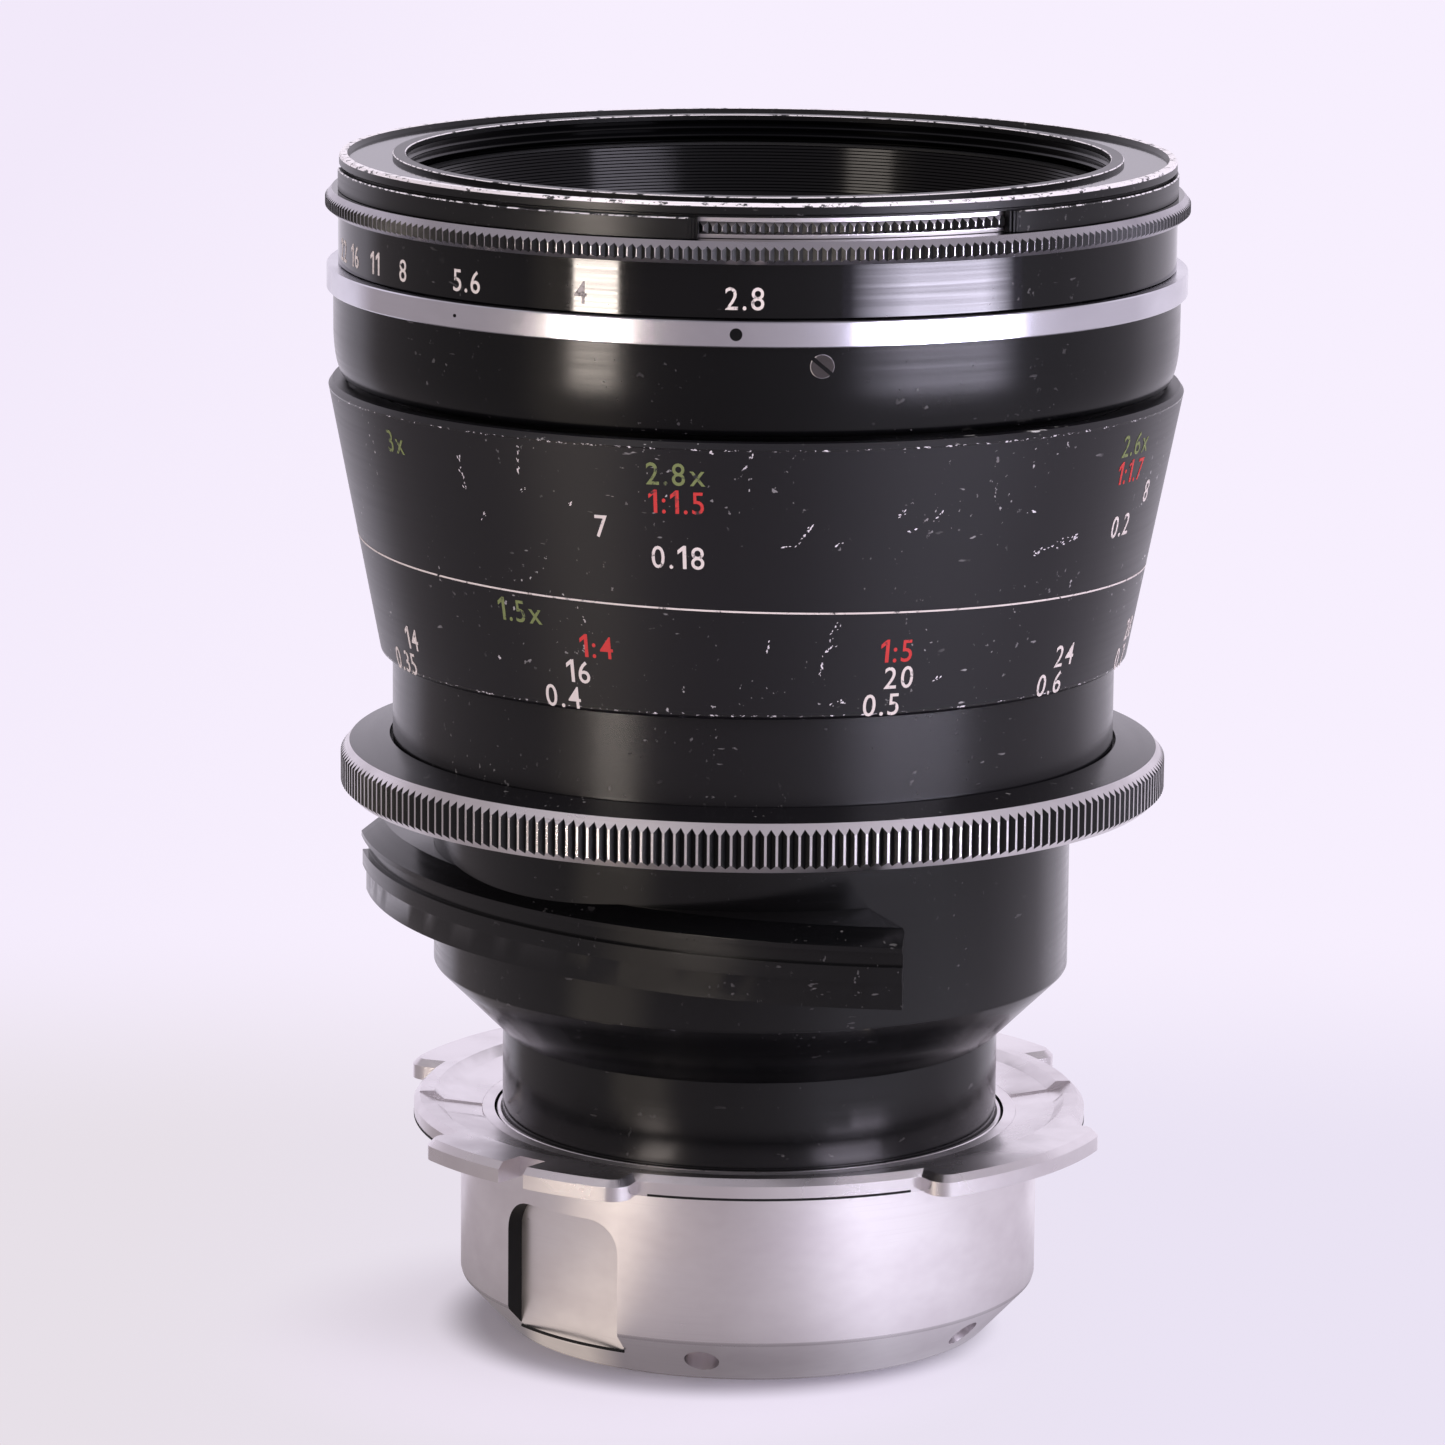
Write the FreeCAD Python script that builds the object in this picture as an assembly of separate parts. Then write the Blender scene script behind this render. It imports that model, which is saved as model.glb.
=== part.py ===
import FreeCAD, Part
import math
import os

os.makedirs("parts", exist_ok=True)

# Macro lens with a four-lug cine mount, standing on the rear end of its mount barrel.
# All sizes are in millimetres. Z is the optical axis and points to the front of the lens.
# The origin is the centre of the rear end. A bearing is an angle round the axis in degrees,
# counted from the front of the photographed view (-Y) towards its right side (+X).

Vector = FreeCAD.Vector
ORIGIN = Vector(0, 0, 0)
UP = Vector(0, 0, 1)

# Clearances
snug = 0.02
running = 0.06
axial_gap = 0.05
free_gap = 0.3

# Mount barrel. The radii of the rear end all follow the barrel's own.
barrel_radius = 27.0
barrel_chamfer_width = 4.0
barrel_chamfer_height = 4.5
barrel_height = 19.2
barrel_lip_width = 1.8
barrel_lip_height = 6.0
barrel_undercut_height = 0.3
barrel_undercut_depth = 0.4
pocket_depth = 1.5
pocket_width = 13.5
pocket_bearing = -40.5
pocket_high = 15.0
pocket_corner = 3.0
spanner_hole_radius = 1.6
spanner_hole_depth = 2.4
spanner_hole_bearings = (-9.7, 52.6)

# Mount flange
flange_thickness = 1.9
flange_register = 0.3
flange_reach = 4.4
flange_chamfer = 0.6
lug_reach = 3.1
lug_bearing = 50.2
lug_half_angle = 20.8
lug_corner = 1.8
lug_count = 4
collar_wall = 1.88
collar_rise = 0.6
lip_ring_width = 0.55
lip_ring_gap = 0.2
lip_ring_depth = 1.9
lip_ring_rise = 0.55
dish_reach = 2.5
dish_slope_width = 0.9
dish_slope_depth = 0.8
dish_depth = 1.3
slot_bearing = 95.5
slot_width = 4.6
slot_reach = 4.0
slot_depth = 0.15
notch_bearing = -38.6
notch_width = 2.9

# Rear body: neck, cone and cylinder in one piece
neck_inset = 3.9
neck_wall = 1.7
neck_rise = 6.8
rear_cone_height = 6.35
rear_cone_flare = 6.45
body_wall = 2.0
body_height = 16.35
ring_seat_width = 1.45
ring_seat_height = 2.2
rear_baffle_width = 4.9
rear_baffle_thickness = 1.5
rear_baffle_rise = 3.0

# Grip wing on the rear body
wing_bearing = -45.0
wing_left_angle = 60.0
wing_right_angle = 65.5
wing_arc_radius = 53.4
wing_proud = 1.04
wing_low_rise = 3.95
wing_face_height = 5.7
wing_bevel_height = 1.4
wing_bevel_width = 1.9
wing_foot_height = 2.4
wing_foot_recess = 0.45
wing_rib_height = 1.5
wing_rib_recess = 0.1
wing_groove_height = 1.3
wing_groove_depth = 0.65
wing_corner = 1.6
grip_screw_radius = 1.25
grip_screw_head_radius = 2.1
grip_screw_head = 0.7
grip_screw_reach = 4.0
grip_screw_spread = 52.0

# Clamp ring with the coarse knurl
clamp_wall = 4.52
clamp_height = 5.0
clamp_bevel_width = 0.8
clamp_top_bevel = 0.95
clamp_top_slope = 0.6
clamp_low_bevel = 0.75
clamp_lip_height = 1.6
clamp_well = 1.0
clamp_well_clearance = 0.3
clamp_knurls = 240
clamp_knurl_depth = 0.42

# Fixed helicoid tube and its keys
helicoid_radius = 33.35
helicoid_wall = 3.35
helicoid_height = 35.6
helicoid_floor = 3.1
spigot_length = 8.4
spigot_wall = 1.4
key_width = 4.0
key_height = 5.0
key_drop = 1.0
key_bearings = (60.0, 240.0)
key_wall = 0.5
key_reach = 1.4

# Focusing travel from the photographed place
travel_down = 6.5
travel_up = 17.5

# Focusing cone with the scales
cone_gap = 8.0
cone_foot_wall = 1.05
cone_flare = 4.8
cone_height = 24.7
cone_rim_height = 0.5
cone_rim_bevel = 0.35
cone_foot_bevel = 0.3
cone_rim_width = 1.2
nut_rise = 6.4
nut_height = 8.0
nut_wall = 1.0
sleeve_wall = 1.4
sleeve_collar = 2.0
sleeve_drop = 9.3
snap_ring_wire = 0.45
snap_ring_rise = 2.6
snap_ring_gap_angle = 14.0

# Band shell above the cone
band_gap = 0.4
band_height = 8.0
band_round_height = 4.4
band_round_width = 1.1
band_wall = 1.7
band_screw_radius = 1.1
band_screw_length = 3.2
band_screw_drop = 1.7
band_screw_bearing = 8.1
band_screw_count = 3
band_screw_slot = 0.4

# Index ring
index_height = 2.25
index_wall = 2.28
index_bevel = 0.2

# Aperture ring, preset ring and front cap. Their radii all follow the filter thread's own.
filter_bore = 32.12
filter_lip_width = 1.2
filter_thread_height = 2.4
thread_relief_height = 0.2
thread_relief = 0.45
hub_wall = 2.38
scale_band_wall = 3.8
scale_band_height = 4.8
aperture_knurl_proud = 1.17
aperture_knurl_height = 2.0
aperture_bevel_width = 0.7
aperture_top_bevel = 0.6
aperture_low_bevel = 0.5
aperture_knurls = 300
aperture_knurl_depth = 0.3
preset_wall = 2.85
preset_height = 1.8
preset_bevel = 0.25
preset_knurls = 288
preset_knurl_depth = 0.28
skirt_wall = 0.95
window_bearing = 13.3
window_half_angle = 21.4
window_count = 3
cap_groove_height = 0.25
cap_groove_depth = 0.5
rim_proud = 0.84
rim_height = 1.0
rim_width = 1.0
rim_bevel = 0.2
plate_recess = 0.4

# Front baffle
baffle_wall = 0.85
baffle_seat_height = 2.8
baffle_step = 0.65
baffle_wall_height = 5.6
baffle_taper = 0.7
baffle_floor = 0.7
baffle_throat_radius = 24.8
baffle_foot_radius = 21.0
baffle_ribs = 11
baffle_rib_depth = 0.16

# Front tube, the moving half of the helicoid
tube_wall = 1.7
tube_flange_thickness = 1.65
tube_drop = 32.0
stop_ring_height = 1.5
stop_ring_wall = 2.9

# Iris
iris_housing_wall = 1.2
iris_housing_floor = 1.0
iris_stop_radius = 9.5
iris_blades = 6
iris_bearing = 30.0
pivot_circle = 20.0
pivot_radius = 0.6
pivot_ear = 1.5
blade_inner_radius = 9.8
blade_outer_radius = 18.4
blade_span = 118.0
blade_thickness = 0.12
blade_pitch = 0.22
blade_lever = 6.0
blade_turn = 24.0
aperture_turn = 80.0
drive_pin_radius = 0.45
drive_slot_clearance = 0.15
drive_ring_thickness = 1.0
drive_ring_bore = 12.5
drive_ring_edge = 0.12
iris_cover_thickness = 1.0
link_bearing = 110.0
link_width = 6.0
link_thickness = 1.4
link_arm_height = 1.2
link_arm_lift = 0.2

# Optical cells and glass
cell_clearance = 2.24
front_cell_height = 20.5
cell_flange_drop = 1.0
cell_flange_thickness = 2.0
front_glass_radius = 20.0
front_glass_edge = 4.0
front_glass_front_sag = 3.2
front_glass_rear_sag = 1.2
front_glass_seat = 11.5
front_ring_height = 1.5
front_ring_width = 1.6
pair_radius = 17.0
pair_seat = 3.0
pair_ring_width = 1.2
crown_edge = 3.6
flint_edge = 2.2
pair_front_sag = 2.2
pair_inner_sag = 1.3
pair_rear_sag = 2.0
cell_throat = 15.0
rear_cell_radius = 22.0
rear_cell_height = 18.5
rear_flange_thickness = 1.5
rear_pair_radius = 15.5
rear_pair_depth = 9.5
rear_flint_edge = 2.4
rear_crown_edge = 4.4
rear_pair_front_sag = 1.6
rear_pair_inner_sag = 1.2
rear_pair_rear_sag = 1.8
rear_glass_radius = 17.0
rear_glass_edge = 3.2
rear_glass_front_sag = 0.8
rear_glass_rear_sag = 1.6
rear_glass_seat = 7.5
rear_ring_height = 1.4
rear_ring_width = 1.5
rear_throat = 13.0

# Click stop of the aperture ring
click_ball_radius = 0.8
click_ball_proud = 0.35
click_groove_depth = 0.6
click_groove_height = 2.2
click_bearing = -150.0
click_rise = 2.4
click_spring_length = 1.1

# Radii worked out from the sizes above
barrel_foot_radius = barrel_radius - barrel_chamfer_width
flange_base_radius = barrel_radius + flange_reach
lug_radius = flange_base_radius + lug_reach
dish_radius = barrel_radius + dish_reach
slot_outer_radius = barrel_radius + slot_reach
neck_radius = barrel_radius - neck_inset
neck_bore = neck_radius - neck_wall
barrel_lip_bore = neck_radius - barrel_lip_width
collar_radius = neck_radius + snug + collar_wall
body_radius = neck_radius + rear_cone_flare
body_bore = body_radius - body_wall
ring_seat_radius = body_radius + ring_seat_width
clamp_bore = helicoid_radius + clamp_well_clearance
clamp_radius = clamp_bore + clamp_wall
helicoid_bore = helicoid_radius - helicoid_wall
tube_radius = helicoid_bore - running
tube_bore = tube_radius - tube_wall
cone_low_radius = helicoid_radius + cone_foot_wall
cone_top_radius = cone_low_radius + cone_flare
sleeve_bore = helicoid_radius + free_gap
sleeve_radius = sleeve_bore + sleeve_wall
band_bore = sleeve_radius + sleeve_collar
band_radius = band_bore + band_wall
index_bore = band_bore + snug
index_radius = index_bore + index_wall
hub_radius = filter_bore + hub_wall
scale_band_radius = hub_radius + scale_band_wall
aperture_knurl_radius = scale_band_radius + aperture_knurl_proud
preset_radius = hub_radius + preset_wall
rim_radius = preset_radius + rim_proud
cell_radius = tube_bore - cell_clearance
iris_housing_radius = cell_radius

# Heights worked out from the sizes above
flange_top = barrel_height + flange_thickness
collar_top = barrel_height + collar_rise
lip_ring_top = barrel_height + lip_ring_rise
lip_ring_low = lip_ring_top - lip_ring_depth
neck_top = flange_top + neck_rise
body_low = neck_top + rear_cone_height
body_top = body_low + body_height
clamp_low = body_top
clamp_top = clamp_low + clamp_height
seat_low = clamp_low + clamp_lip_height + axial_gap
seat_top = seat_low + ring_seat_height
helicoid_low = seat_top
helicoid_top = helicoid_low + helicoid_height
helicoid_floor_top = helicoid_low + helicoid_floor
cone_low = clamp_top + cone_gap
cone_top = cone_low + cone_height
cone_rim_top = cone_top + cone_rim_height
band_low = cone_rim_top + band_gap
index_low = band_low + band_height
index_top = index_low + index_height
tube_flange_low = index_top - tube_flange_thickness
tube_low = tube_flange_low - tube_drop
scale_low = index_top + axial_gap
scale_top = scale_low + scale_band_height
aperture_top = scale_top + aperture_knurl_height
preset_low = aperture_top + axial_gap
preset_top = preset_low + preset_height
skirt_top = preset_top + axial_gap
rim_low = skirt_top + cap_groove_height
front_top = rim_low + rim_height
sleeve_low = cone_rim_top - sleeve_drop
collar_low = band_low + 0.2
thread_low = front_top - filter_thread_height
baffle_top = thread_low - thread_relief_height
baffle_seat = baffle_top - baffle_seat_height
baffle_low = baffle_top - baffle_wall_height
cell_top = tube_flange_low - 0.8
cell_low = cell_top - front_cell_height
iris_low = cell_low - (iris_housing_floor + 5.5)
iris_high = cell_low
blade_low = iris_low + iris_housing_floor + 0.15
drive_low = blade_low + iris_blades * blade_pitch + 0.3
drive_high = drive_low + drive_ring_thickness
rear_cell_low = iris_low - rear_cell_height
arm_low = index_top + link_arm_lift
arm_top = arm_low + link_arm_height


def ring(profile):
    """Turn a closed outline of (radius, height) points once round the axis."""
    points = [Vector(radius, 0, height) for radius, height in profile]
    outline = Part.makePolygon(points + points[:1])
    return Part.Face(outline).revolve(ORIGIN, UP, 360)


def tube(outer, inner, low, high):
    """Plain round wall between two heights."""
    return ring([(inner, low), (outer, low), (outer, high), (inner, high)])


def disc(radius, low, high, x=0.0, y=0.0):
    """Plain round bar along the axis direction."""
    return Part.makeCylinder(radius, high - low, Vector(x, y, low), UP)


def turned(shape, bearing):
    """Turn a shape drawn on the +X side to its bearing."""
    return shape.rotated(ORIGIN, UP, bearing - 90.0)


def place(radius, bearing, height):
    """Point at a radius, bearing and height."""
    angle = math.radians(bearing)
    return Vector(radius * math.sin(angle), -radius * math.cos(angle), height)


def block(x_low, x_high, width, low, high):
    """Straight block that lies along +X, centred on the X axis."""
    return Part.makeBox(x_high - x_low, width, high - low, Vector(x_low, -width / 2, low))


def radial_bar(radius, inner, outer, height, bearing):
    """Round bar along a bearing, from one distance from the axis to another."""
    direction = place(1.0, bearing, 0.0)
    return Part.makeCylinder(radius, outer - inner, place(inner, bearing, height), direction)


def sector(radius, low, high, bearing, half_angle):
    """Pie slice about the axis."""
    slice_ = Part.makeCylinder(radius, high - low, Vector(0, 0, low), UP, 2 * half_angle)
    return slice_.rotated(ORIGIN, UP, bearing - 90.0 - half_angle)


def arc_wall(outer, inner, low, high, bearing, half_angle):
    """Part of a round wall, centred on a bearing."""
    return tube(outer, inner, low, high).common(sector(outer + 5.0, low, high, bearing, half_angle))


def knurled(profile, radius, depth, count, low, high):
    """Round body with straight V grooves round its rim."""
    step = 2 * math.pi / count
    land = step * 0.26
    points = []
    for number in range(count):
        start = number * step
        for angle, reach in ((start, radius), (start + land, radius), (start + (land + step) / 2, radius - depth)):
            points.append(Vector(reach * math.cos(angle), reach * math.sin(angle), low))
    prism = Part.Face(Part.makePolygon(points + points[:1])).extrude(Vector(0, 0, high - low))
    return prism.common(ring(profile))


def upright_edges(shape, radius, reach=0.2):
    """Edges parallel to the axis that lie at a radius."""
    found = []
    for edge in shape.Edges:
        ends = [vertex.Point for vertex in edge.Vertexes]
        if len(ends) != 2:
            continue
        same = math.hypot(ends[0].x - ends[1].x, ends[0].y - ends[1].y) < 1e-4
        if same and abs(math.hypot(ends[0].x, ends[0].y) - radius) < reach:
            found.append(edge)
    return found


def sag_at(radius, sag, reach):
    """Depth of a sphere's cap of a given radius and sag at a distance from its middle."""
    sphere = (radius * radius + sag * sag) / (2 * abs(sag))
    cap = math.sqrt(sphere * sphere - reach * reach) - (sphere - abs(sag))
    return math.copysign(cap, sag)


def glass(radius, low, high, low_sag, high_sag):
    """Lens element. A positive sag bulges outwards at that face, a negative one is hollow."""
    foot = Vector(0, 0, low - low_sag)
    foot_edge = Vector(radius, 0, low)
    head_edge = Vector(radius, 0, high)
    head = Vector(0, 0, high + high_sag)
    foot_mid = Vector(radius / 2, 0, low - sag_at(radius, low_sag, radius / 2))
    head_mid = Vector(radius / 2, 0, high + sag_at(radius, high_sag, radius / 2))
    edges = [
        Part.Arc(foot, foot_mid, foot_edge).toShape(),
        Part.LineSegment(foot_edge, head_edge).toShape(),
        Part.Arc(head_edge, head_mid, head).toShape(),
        Part.LineSegment(head, foot).toShape(),
    ]
    return Part.Face(Part.Wire(edges)).revolve(ORIGIN, UP, 360)


def glass_ring(radius, width, edge, height, sag, side):
    """Retaining ring on a bulged face. The side is 1 in front of the glass and -1 behind it."""
    inner = radius - width
    foot = edge + side * (sag_at(radius, sag, inner) + axial_gap)
    return ring([(radius, edge), (radius, edge + side * height), (inner, edge + side * height), (inner, foot)])


def save(name, shape):
    """Write one node and print its volume."""
    shape.exportStep("parts/" + name + ".step")
    print(name, len(shape.Solids), round(shape.Volume, 1), shape.isValid())


def mount_barrel():
    """Rear barrel with its chamfer, pocket and spanner holes."""
    bore = neck_radius + snug
    lip_outer = bore + lip_ring_width + lip_ring_gap
    undercut = barrel_radius - barrel_undercut_depth
    shoulder = barrel_height + flange_register
    body = ring([
        (barrel_lip_bore, 0),
        (barrel_foot_radius, 0),
        (barrel_radius, barrel_chamfer_height),
        (barrel_radius, barrel_height - barrel_undercut_height),
        (undercut, barrel_height - barrel_undercut_height),
        (undercut, shoulder),
        (collar_radius, shoulder),
        (collar_radius, collar_top),
        (lip_outer, collar_top),
        (lip_outer, lip_ring_low),
        (bore, lip_ring_low),
        (bore, barrel_lip_height),
        (barrel_lip_bore, barrel_lip_height),
    ])
    pocket = block(barrel_foot_radius / 2, barrel_radius + 2, pocket_width, -1, pocket_high)
    lengthwise = [edge for edge in pocket.Edges if abs(edge.tangentAt(edge.FirstParameter).x) > 0.99]
    corners = [edge for edge in lengthwise if edge.Vertexes[0].Point.z > 0]
    pocket = pocket.makeFillet(pocket_corner, corners)
    pocket = pocket.cut(disc(barrel_radius - pocket_depth, -2, barrel_height))
    body = body.cut(turned(pocket, pocket_bearing))
    slope = math.hypot(barrel_radius - barrel_foot_radius, barrel_chamfer_height)
    inward = Vector(-barrel_chamfer_height / slope, 0, (barrel_radius - barrel_foot_radius) / slope)
    mouth = Vector((barrel_radius + barrel_foot_radius) / 2, 0, barrel_chamfer_height / 2)
    hole = Part.makeCylinder(spanner_hole_radius, 2 * spanner_hole_depth, mouth - inward * spanner_hole_depth, inward)
    for bearing in spanner_hole_bearings:
        for turn in (0, 180):
            body = body.cut(turned(hole, bearing + turn))
    return body


def mount_lip_ring():
    """Thin bright ring round the neck, in the top of the barrel."""
    inner = neck_radius + snug
    outer = inner + lip_ring_width
    bevel = lip_ring_width / 3
    return ring([
        (inner, lip_ring_low),
        (outer, lip_ring_low),
        (outer, lip_ring_top),
        (inner + bevel, lip_ring_top),
        (inner, lip_ring_top - bevel),
    ])


def mount_flange():
    """Four-lug flange with its dished face, two spanner slots and the locating notch."""
    plate = disc(flange_base_radius, barrel_height, flange_top)
    for number in range(lug_count):
        bearing = lug_bearing + number * 360 / lug_count
        plate = plate.fuse(sector(lug_radius, barrel_height, flange_top, bearing, lug_half_angle))
    plate = plate.removeSplitter()
    plate = plate.makeFillet(lug_corner, upright_edges(plate, lug_radius))
    rim = [edge for edge in plate.Edges if edge.BoundBox.ZMin > flange_top - 0.01]
    plate = plate.makeChamfer(flange_chamfer, rim)
    dish = ring([
        (0, flange_top + 1),
        (0, flange_top - dish_depth),
        (collar_radius, flange_top - dish_depth),
        (dish_radius - dish_slope_width, flange_top - dish_slope_depth),
        (dish_radius, flange_top),
        (dish_radius, flange_top + 1),
    ])
    plate = plate.cut(dish).cut(disc(collar_radius + snug, barrel_height, flange_top))
    plate = plate.cut(disc(barrel_radius + snug, barrel_height - 1, barrel_height + flange_register))
    slot_outline = [
        (collar_radius - 1, flange_top + 1),
        (collar_radius - 1, flange_top - dish_depth - slot_depth),
        (collar_radius, flange_top - dish_depth - slot_depth),
        (dish_radius - dish_slope_width, flange_top - dish_slope_depth - slot_depth),
        (slot_outer_radius, flange_top),
        (slot_outer_radius, flange_top + 1),
    ]
    points = [Vector(radius, -slot_width / 2, height) for radius, height in slot_outline]
    slot = Part.Face(Part.makePolygon(points + points[:1])).extrude(Vector(0, slot_width, 0))
    for turn in (0, 180):
        plate = plate.cut(turned(slot, slot_bearing + turn))
    notch = block(flange_base_radius, lug_radius + 1, notch_width, barrel_height, flange_top)
    return plate.cut(turned(notch, notch_bearing))


def rear_body():
    """Neck, cone and cylinder, with the seat of the clamp ring at its top."""
    body = ring([
        (neck_bore, barrel_lip_height),
        (neck_radius, barrel_lip_height),
        (neck_radius, neck_top),
        (body_radius, body_low),
        (body_radius, seat_low),
        (ring_seat_radius, seat_low),
        (ring_seat_radius, seat_top),
        (body_bore, seat_top),
        (body_bore, body_low + body_wall),
        (neck_bore, neck_top + neck_wall),
    ])
    for side in (-1, 1):
        bearing = wing_bearing + side * grip_screw_spread
        height = wing_middle()
        body = body.cut(radial_bar(grip_screw_radius + snug, body_bore / 2, body_radius + 1, height, bearing))
        head = radial_bar(grip_screw_head_radius + snug, body_bore / 2, body_bore + grip_screw_head, height, bearing)
        body = body.cut(head)
    return body


def wing_middle():
    """Height of the middle of the wing's outer face."""
    return body_low + wing_low_rise + wing_face_height / 2


def wing_end(side, half_angle):
    """Outline points of one end of the wing, seen from above, with its corner cut off."""
    offset = wing_arc_radius - body_radius - wing_proud
    angle = math.radians(half_angle)
    reach = offset * math.cos(math.pi - angle)
    end_radius = reach + math.sqrt(wing_arc_radius ** 2 - offset ** 2 + reach ** 2)
    start = end_radius - wing_corner
    slant = angle - math.radians(30.0)
    corner = Vector(start * math.cos(angle), side * start * math.sin(angle), 0)
    beyond = corner + Vector(math.cos(slant), side * math.sin(slant), 0) * 4 * wing_corner
    return corner, beyond


def grip_wing():
    """Bowed grip lug that stands off the rear body, with a grooved outer face."""
    low = body_low + wing_low_rise
    edge = low + wing_face_height
    top = edge + wing_bevel_height
    rib_low = low + wing_foot_height
    groove_low = rib_low + wing_rib_height
    groove_top = groove_low + wing_groove_height
    offset = wing_arc_radius - body_radius - wing_proud
    bow = ring([
        (0, low),
        (wing_arc_radius - wing_foot_recess, low),
        (wing_arc_radius - wing_foot_recess, rib_low),
        (wing_arc_radius - wing_rib_recess, rib_low),
        (wing_arc_radius - wing_rib_recess, groove_low),
        (wing_arc_radius - wing_groove_depth, groove_low),
        (wing_arc_radius - wing_groove_depth, groove_top),
        (wing_arc_radius, groove_top),
        (wing_arc_radius, edge),
        (wing_arc_radius - wing_bevel_width, top),
        (0, top),
    ])
    bow = bow.translated(Vector(-offset, 0, 0))
    left, left_beyond = wing_end(-1, wing_left_angle)
    right, right_beyond = wing_end(1, wing_right_angle)
    far = Vector(wing_arc_radius, 0, 0)
    points = [ORIGIN, left, left_beyond, far, right_beyond, right]
    points = [Vector(point.x, point.y, low) for point in points]
    plan = Part.Face(Part.makePolygon(points + points[:1])).extrude(Vector(0, 0, top - low))
    wing = turned(bow.common(plan), wing_bearing).cut(disc(body_radius, low, top))
    for side in (-1, 1):
        bearing = wing_bearing + side * grip_screw_spread
        hole = radial_bar(grip_screw_radius, body_bore, body_radius + grip_screw_reach, wing_middle(), bearing)
        wing = wing.cut(hole)
    return wing


def grip_screws():
    """Two screws that hold the wing from inside the body."""
    screws = []
    for side in (-1, 1):
        bearing = wing_bearing + side * grip_screw_spread
        height = wing_middle()
        shank = radial_bar(grip_screw_radius, body_bore, body_radius + grip_screw_reach, height, bearing)
        head = radial_bar(grip_screw_head_radius, body_bore, body_bore + grip_screw_head, height, bearing)
        screws.append(shank.fuse(head).cut(disc(body_bore, body_low, body_top)).removeSplitter())
    return Part.makeCompound(screws)


def rear_baffle():
    """Blackened ring that traps stray light in the neck."""
    low = barrel_lip_height + rear_baffle_rise
    outer = neck_bore - snug
    return ring([
        (outer, low),
        (outer, low + 2 * rear_baffle_thickness),
        (outer - rear_baffle_thickness, low + 2 * rear_baffle_thickness),
        (outer - rear_baffle_thickness, low + rear_baffle_thickness),
        (outer - rear_baffle_width, low + rear_baffle_thickness),
        (outer - rear_baffle_width, low),
    ])


def clamp_ring():
    """Large knurled ring that clamps the focusing movement."""
    profile = [
        (body_radius + running, clamp_low),
        (clamp_radius - clamp_bevel_width, clamp_low),
        (clamp_radius, clamp_low + clamp_low_bevel),
        (clamp_radius, clamp_top - clamp_top_slope - clamp_top_bevel),
        (clamp_radius - clamp_bevel_width, clamp_top - clamp_top_slope),
        (clamp_bore, clamp_top),
        (clamp_bore, seat_top - axial_gap),
        (ring_seat_radius + running, seat_top - axial_gap),
        (ring_seat_radius + running, seat_low - axial_gap),
        (body_radius + running, seat_low - axial_gap),
    ]
    return knurled(profile, clamp_radius, clamp_knurl_depth, clamp_knurls, clamp_low, clamp_top)


def key_low():
    """Height of the lower end of the guide keys."""
    return helicoid_top - key_drop - key_height


def helicoid_tube():
    """Fixed half of the focusing helicoid, with seats for the guide keys."""
    spigot_outer = body_bore - snug
    body = ring([
        (spigot_outer - spigot_wall, helicoid_low - spigot_length),
        (spigot_outer, helicoid_low - spigot_length),
        (spigot_outer, helicoid_low),
        (helicoid_radius, helicoid_low),
        (helicoid_radius, helicoid_top),
        (helicoid_bore, helicoid_top),
        (helicoid_bore, helicoid_floor_top),
        (spigot_outer - spigot_wall, helicoid_floor_top),
    ])
    outer = helicoid_radius - key_wall
    seat = block(helicoid_bore / 2, outer + snug, key_width + 2 * snug, key_low(), key_low() + key_height)
    for bearing in key_bearings:
        body = body.cut(turned(seat, bearing))
    return body


def guide_keys():
    """Two keys that stop the front tube from turning."""
    outer = helicoid_radius - key_wall
    key = block(helicoid_bore - key_reach, outer, key_width, key_low(), key_low() + key_height)
    return Part.makeCompound([turned(key, bearing) for bearing in key_bearings])


def cone_radius_at(height):
    """Outer radius of the focusing cone at a height."""
    share = (height - cone_low) / cone_height
    return cone_low_radius + (cone_top_radius - cone_low_radius) * share


def nut_low():
    """Height of the lower face of the focusing nut."""
    return cone_low + nut_rise


def focus_cone():
    """Focusing cone that carries the distance and ratio scales."""
    guide = helicoid_radius + free_gap
    nut_seat = helicoid_radius + running + nut_wall
    bearing_bore = sleeve_radius + running
    groove_low = sleeve_low + snap_ring_rise
    groove_high = groove_low + 2 * snap_ring_wire
    groove = bearing_bore + snap_ring_wire
    return ring([
        (guide, cone_low),
        (cone_low_radius - cone_foot_bevel, cone_low),
        (cone_low_radius, cone_low + cone_foot_bevel),
        (cone_top_radius, cone_top),
        (cone_top_radius - cone_rim_bevel, cone_rim_top),
        (cone_top_radius - cone_rim_bevel - cone_rim_width, cone_rim_top),
        (cone_top_radius - cone_rim_bevel - cone_rim_width, cone_top - 0.2),
        (bearing_bore, cone_top - 0.2),
        (bearing_bore, groove_high + axial_gap),
        (groove, groove_high + axial_gap),
        (groove, groove_low - axial_gap),
        (bearing_bore, groove_low - axial_gap),
        (bearing_bore, nut_low() + nut_height + 0.4),
        (nut_seat, nut_low() + nut_height + 0.4),
        (nut_seat, nut_low()),
        (guide, nut_low()),
    ])


def focus_nut():
    """Bronze nut in the cone that runs on the helicoid tube."""
    inner = helicoid_radius + running
    return tube(inner + nut_wall - snug, inner, nut_low(), nut_low() + nut_height)


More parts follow.
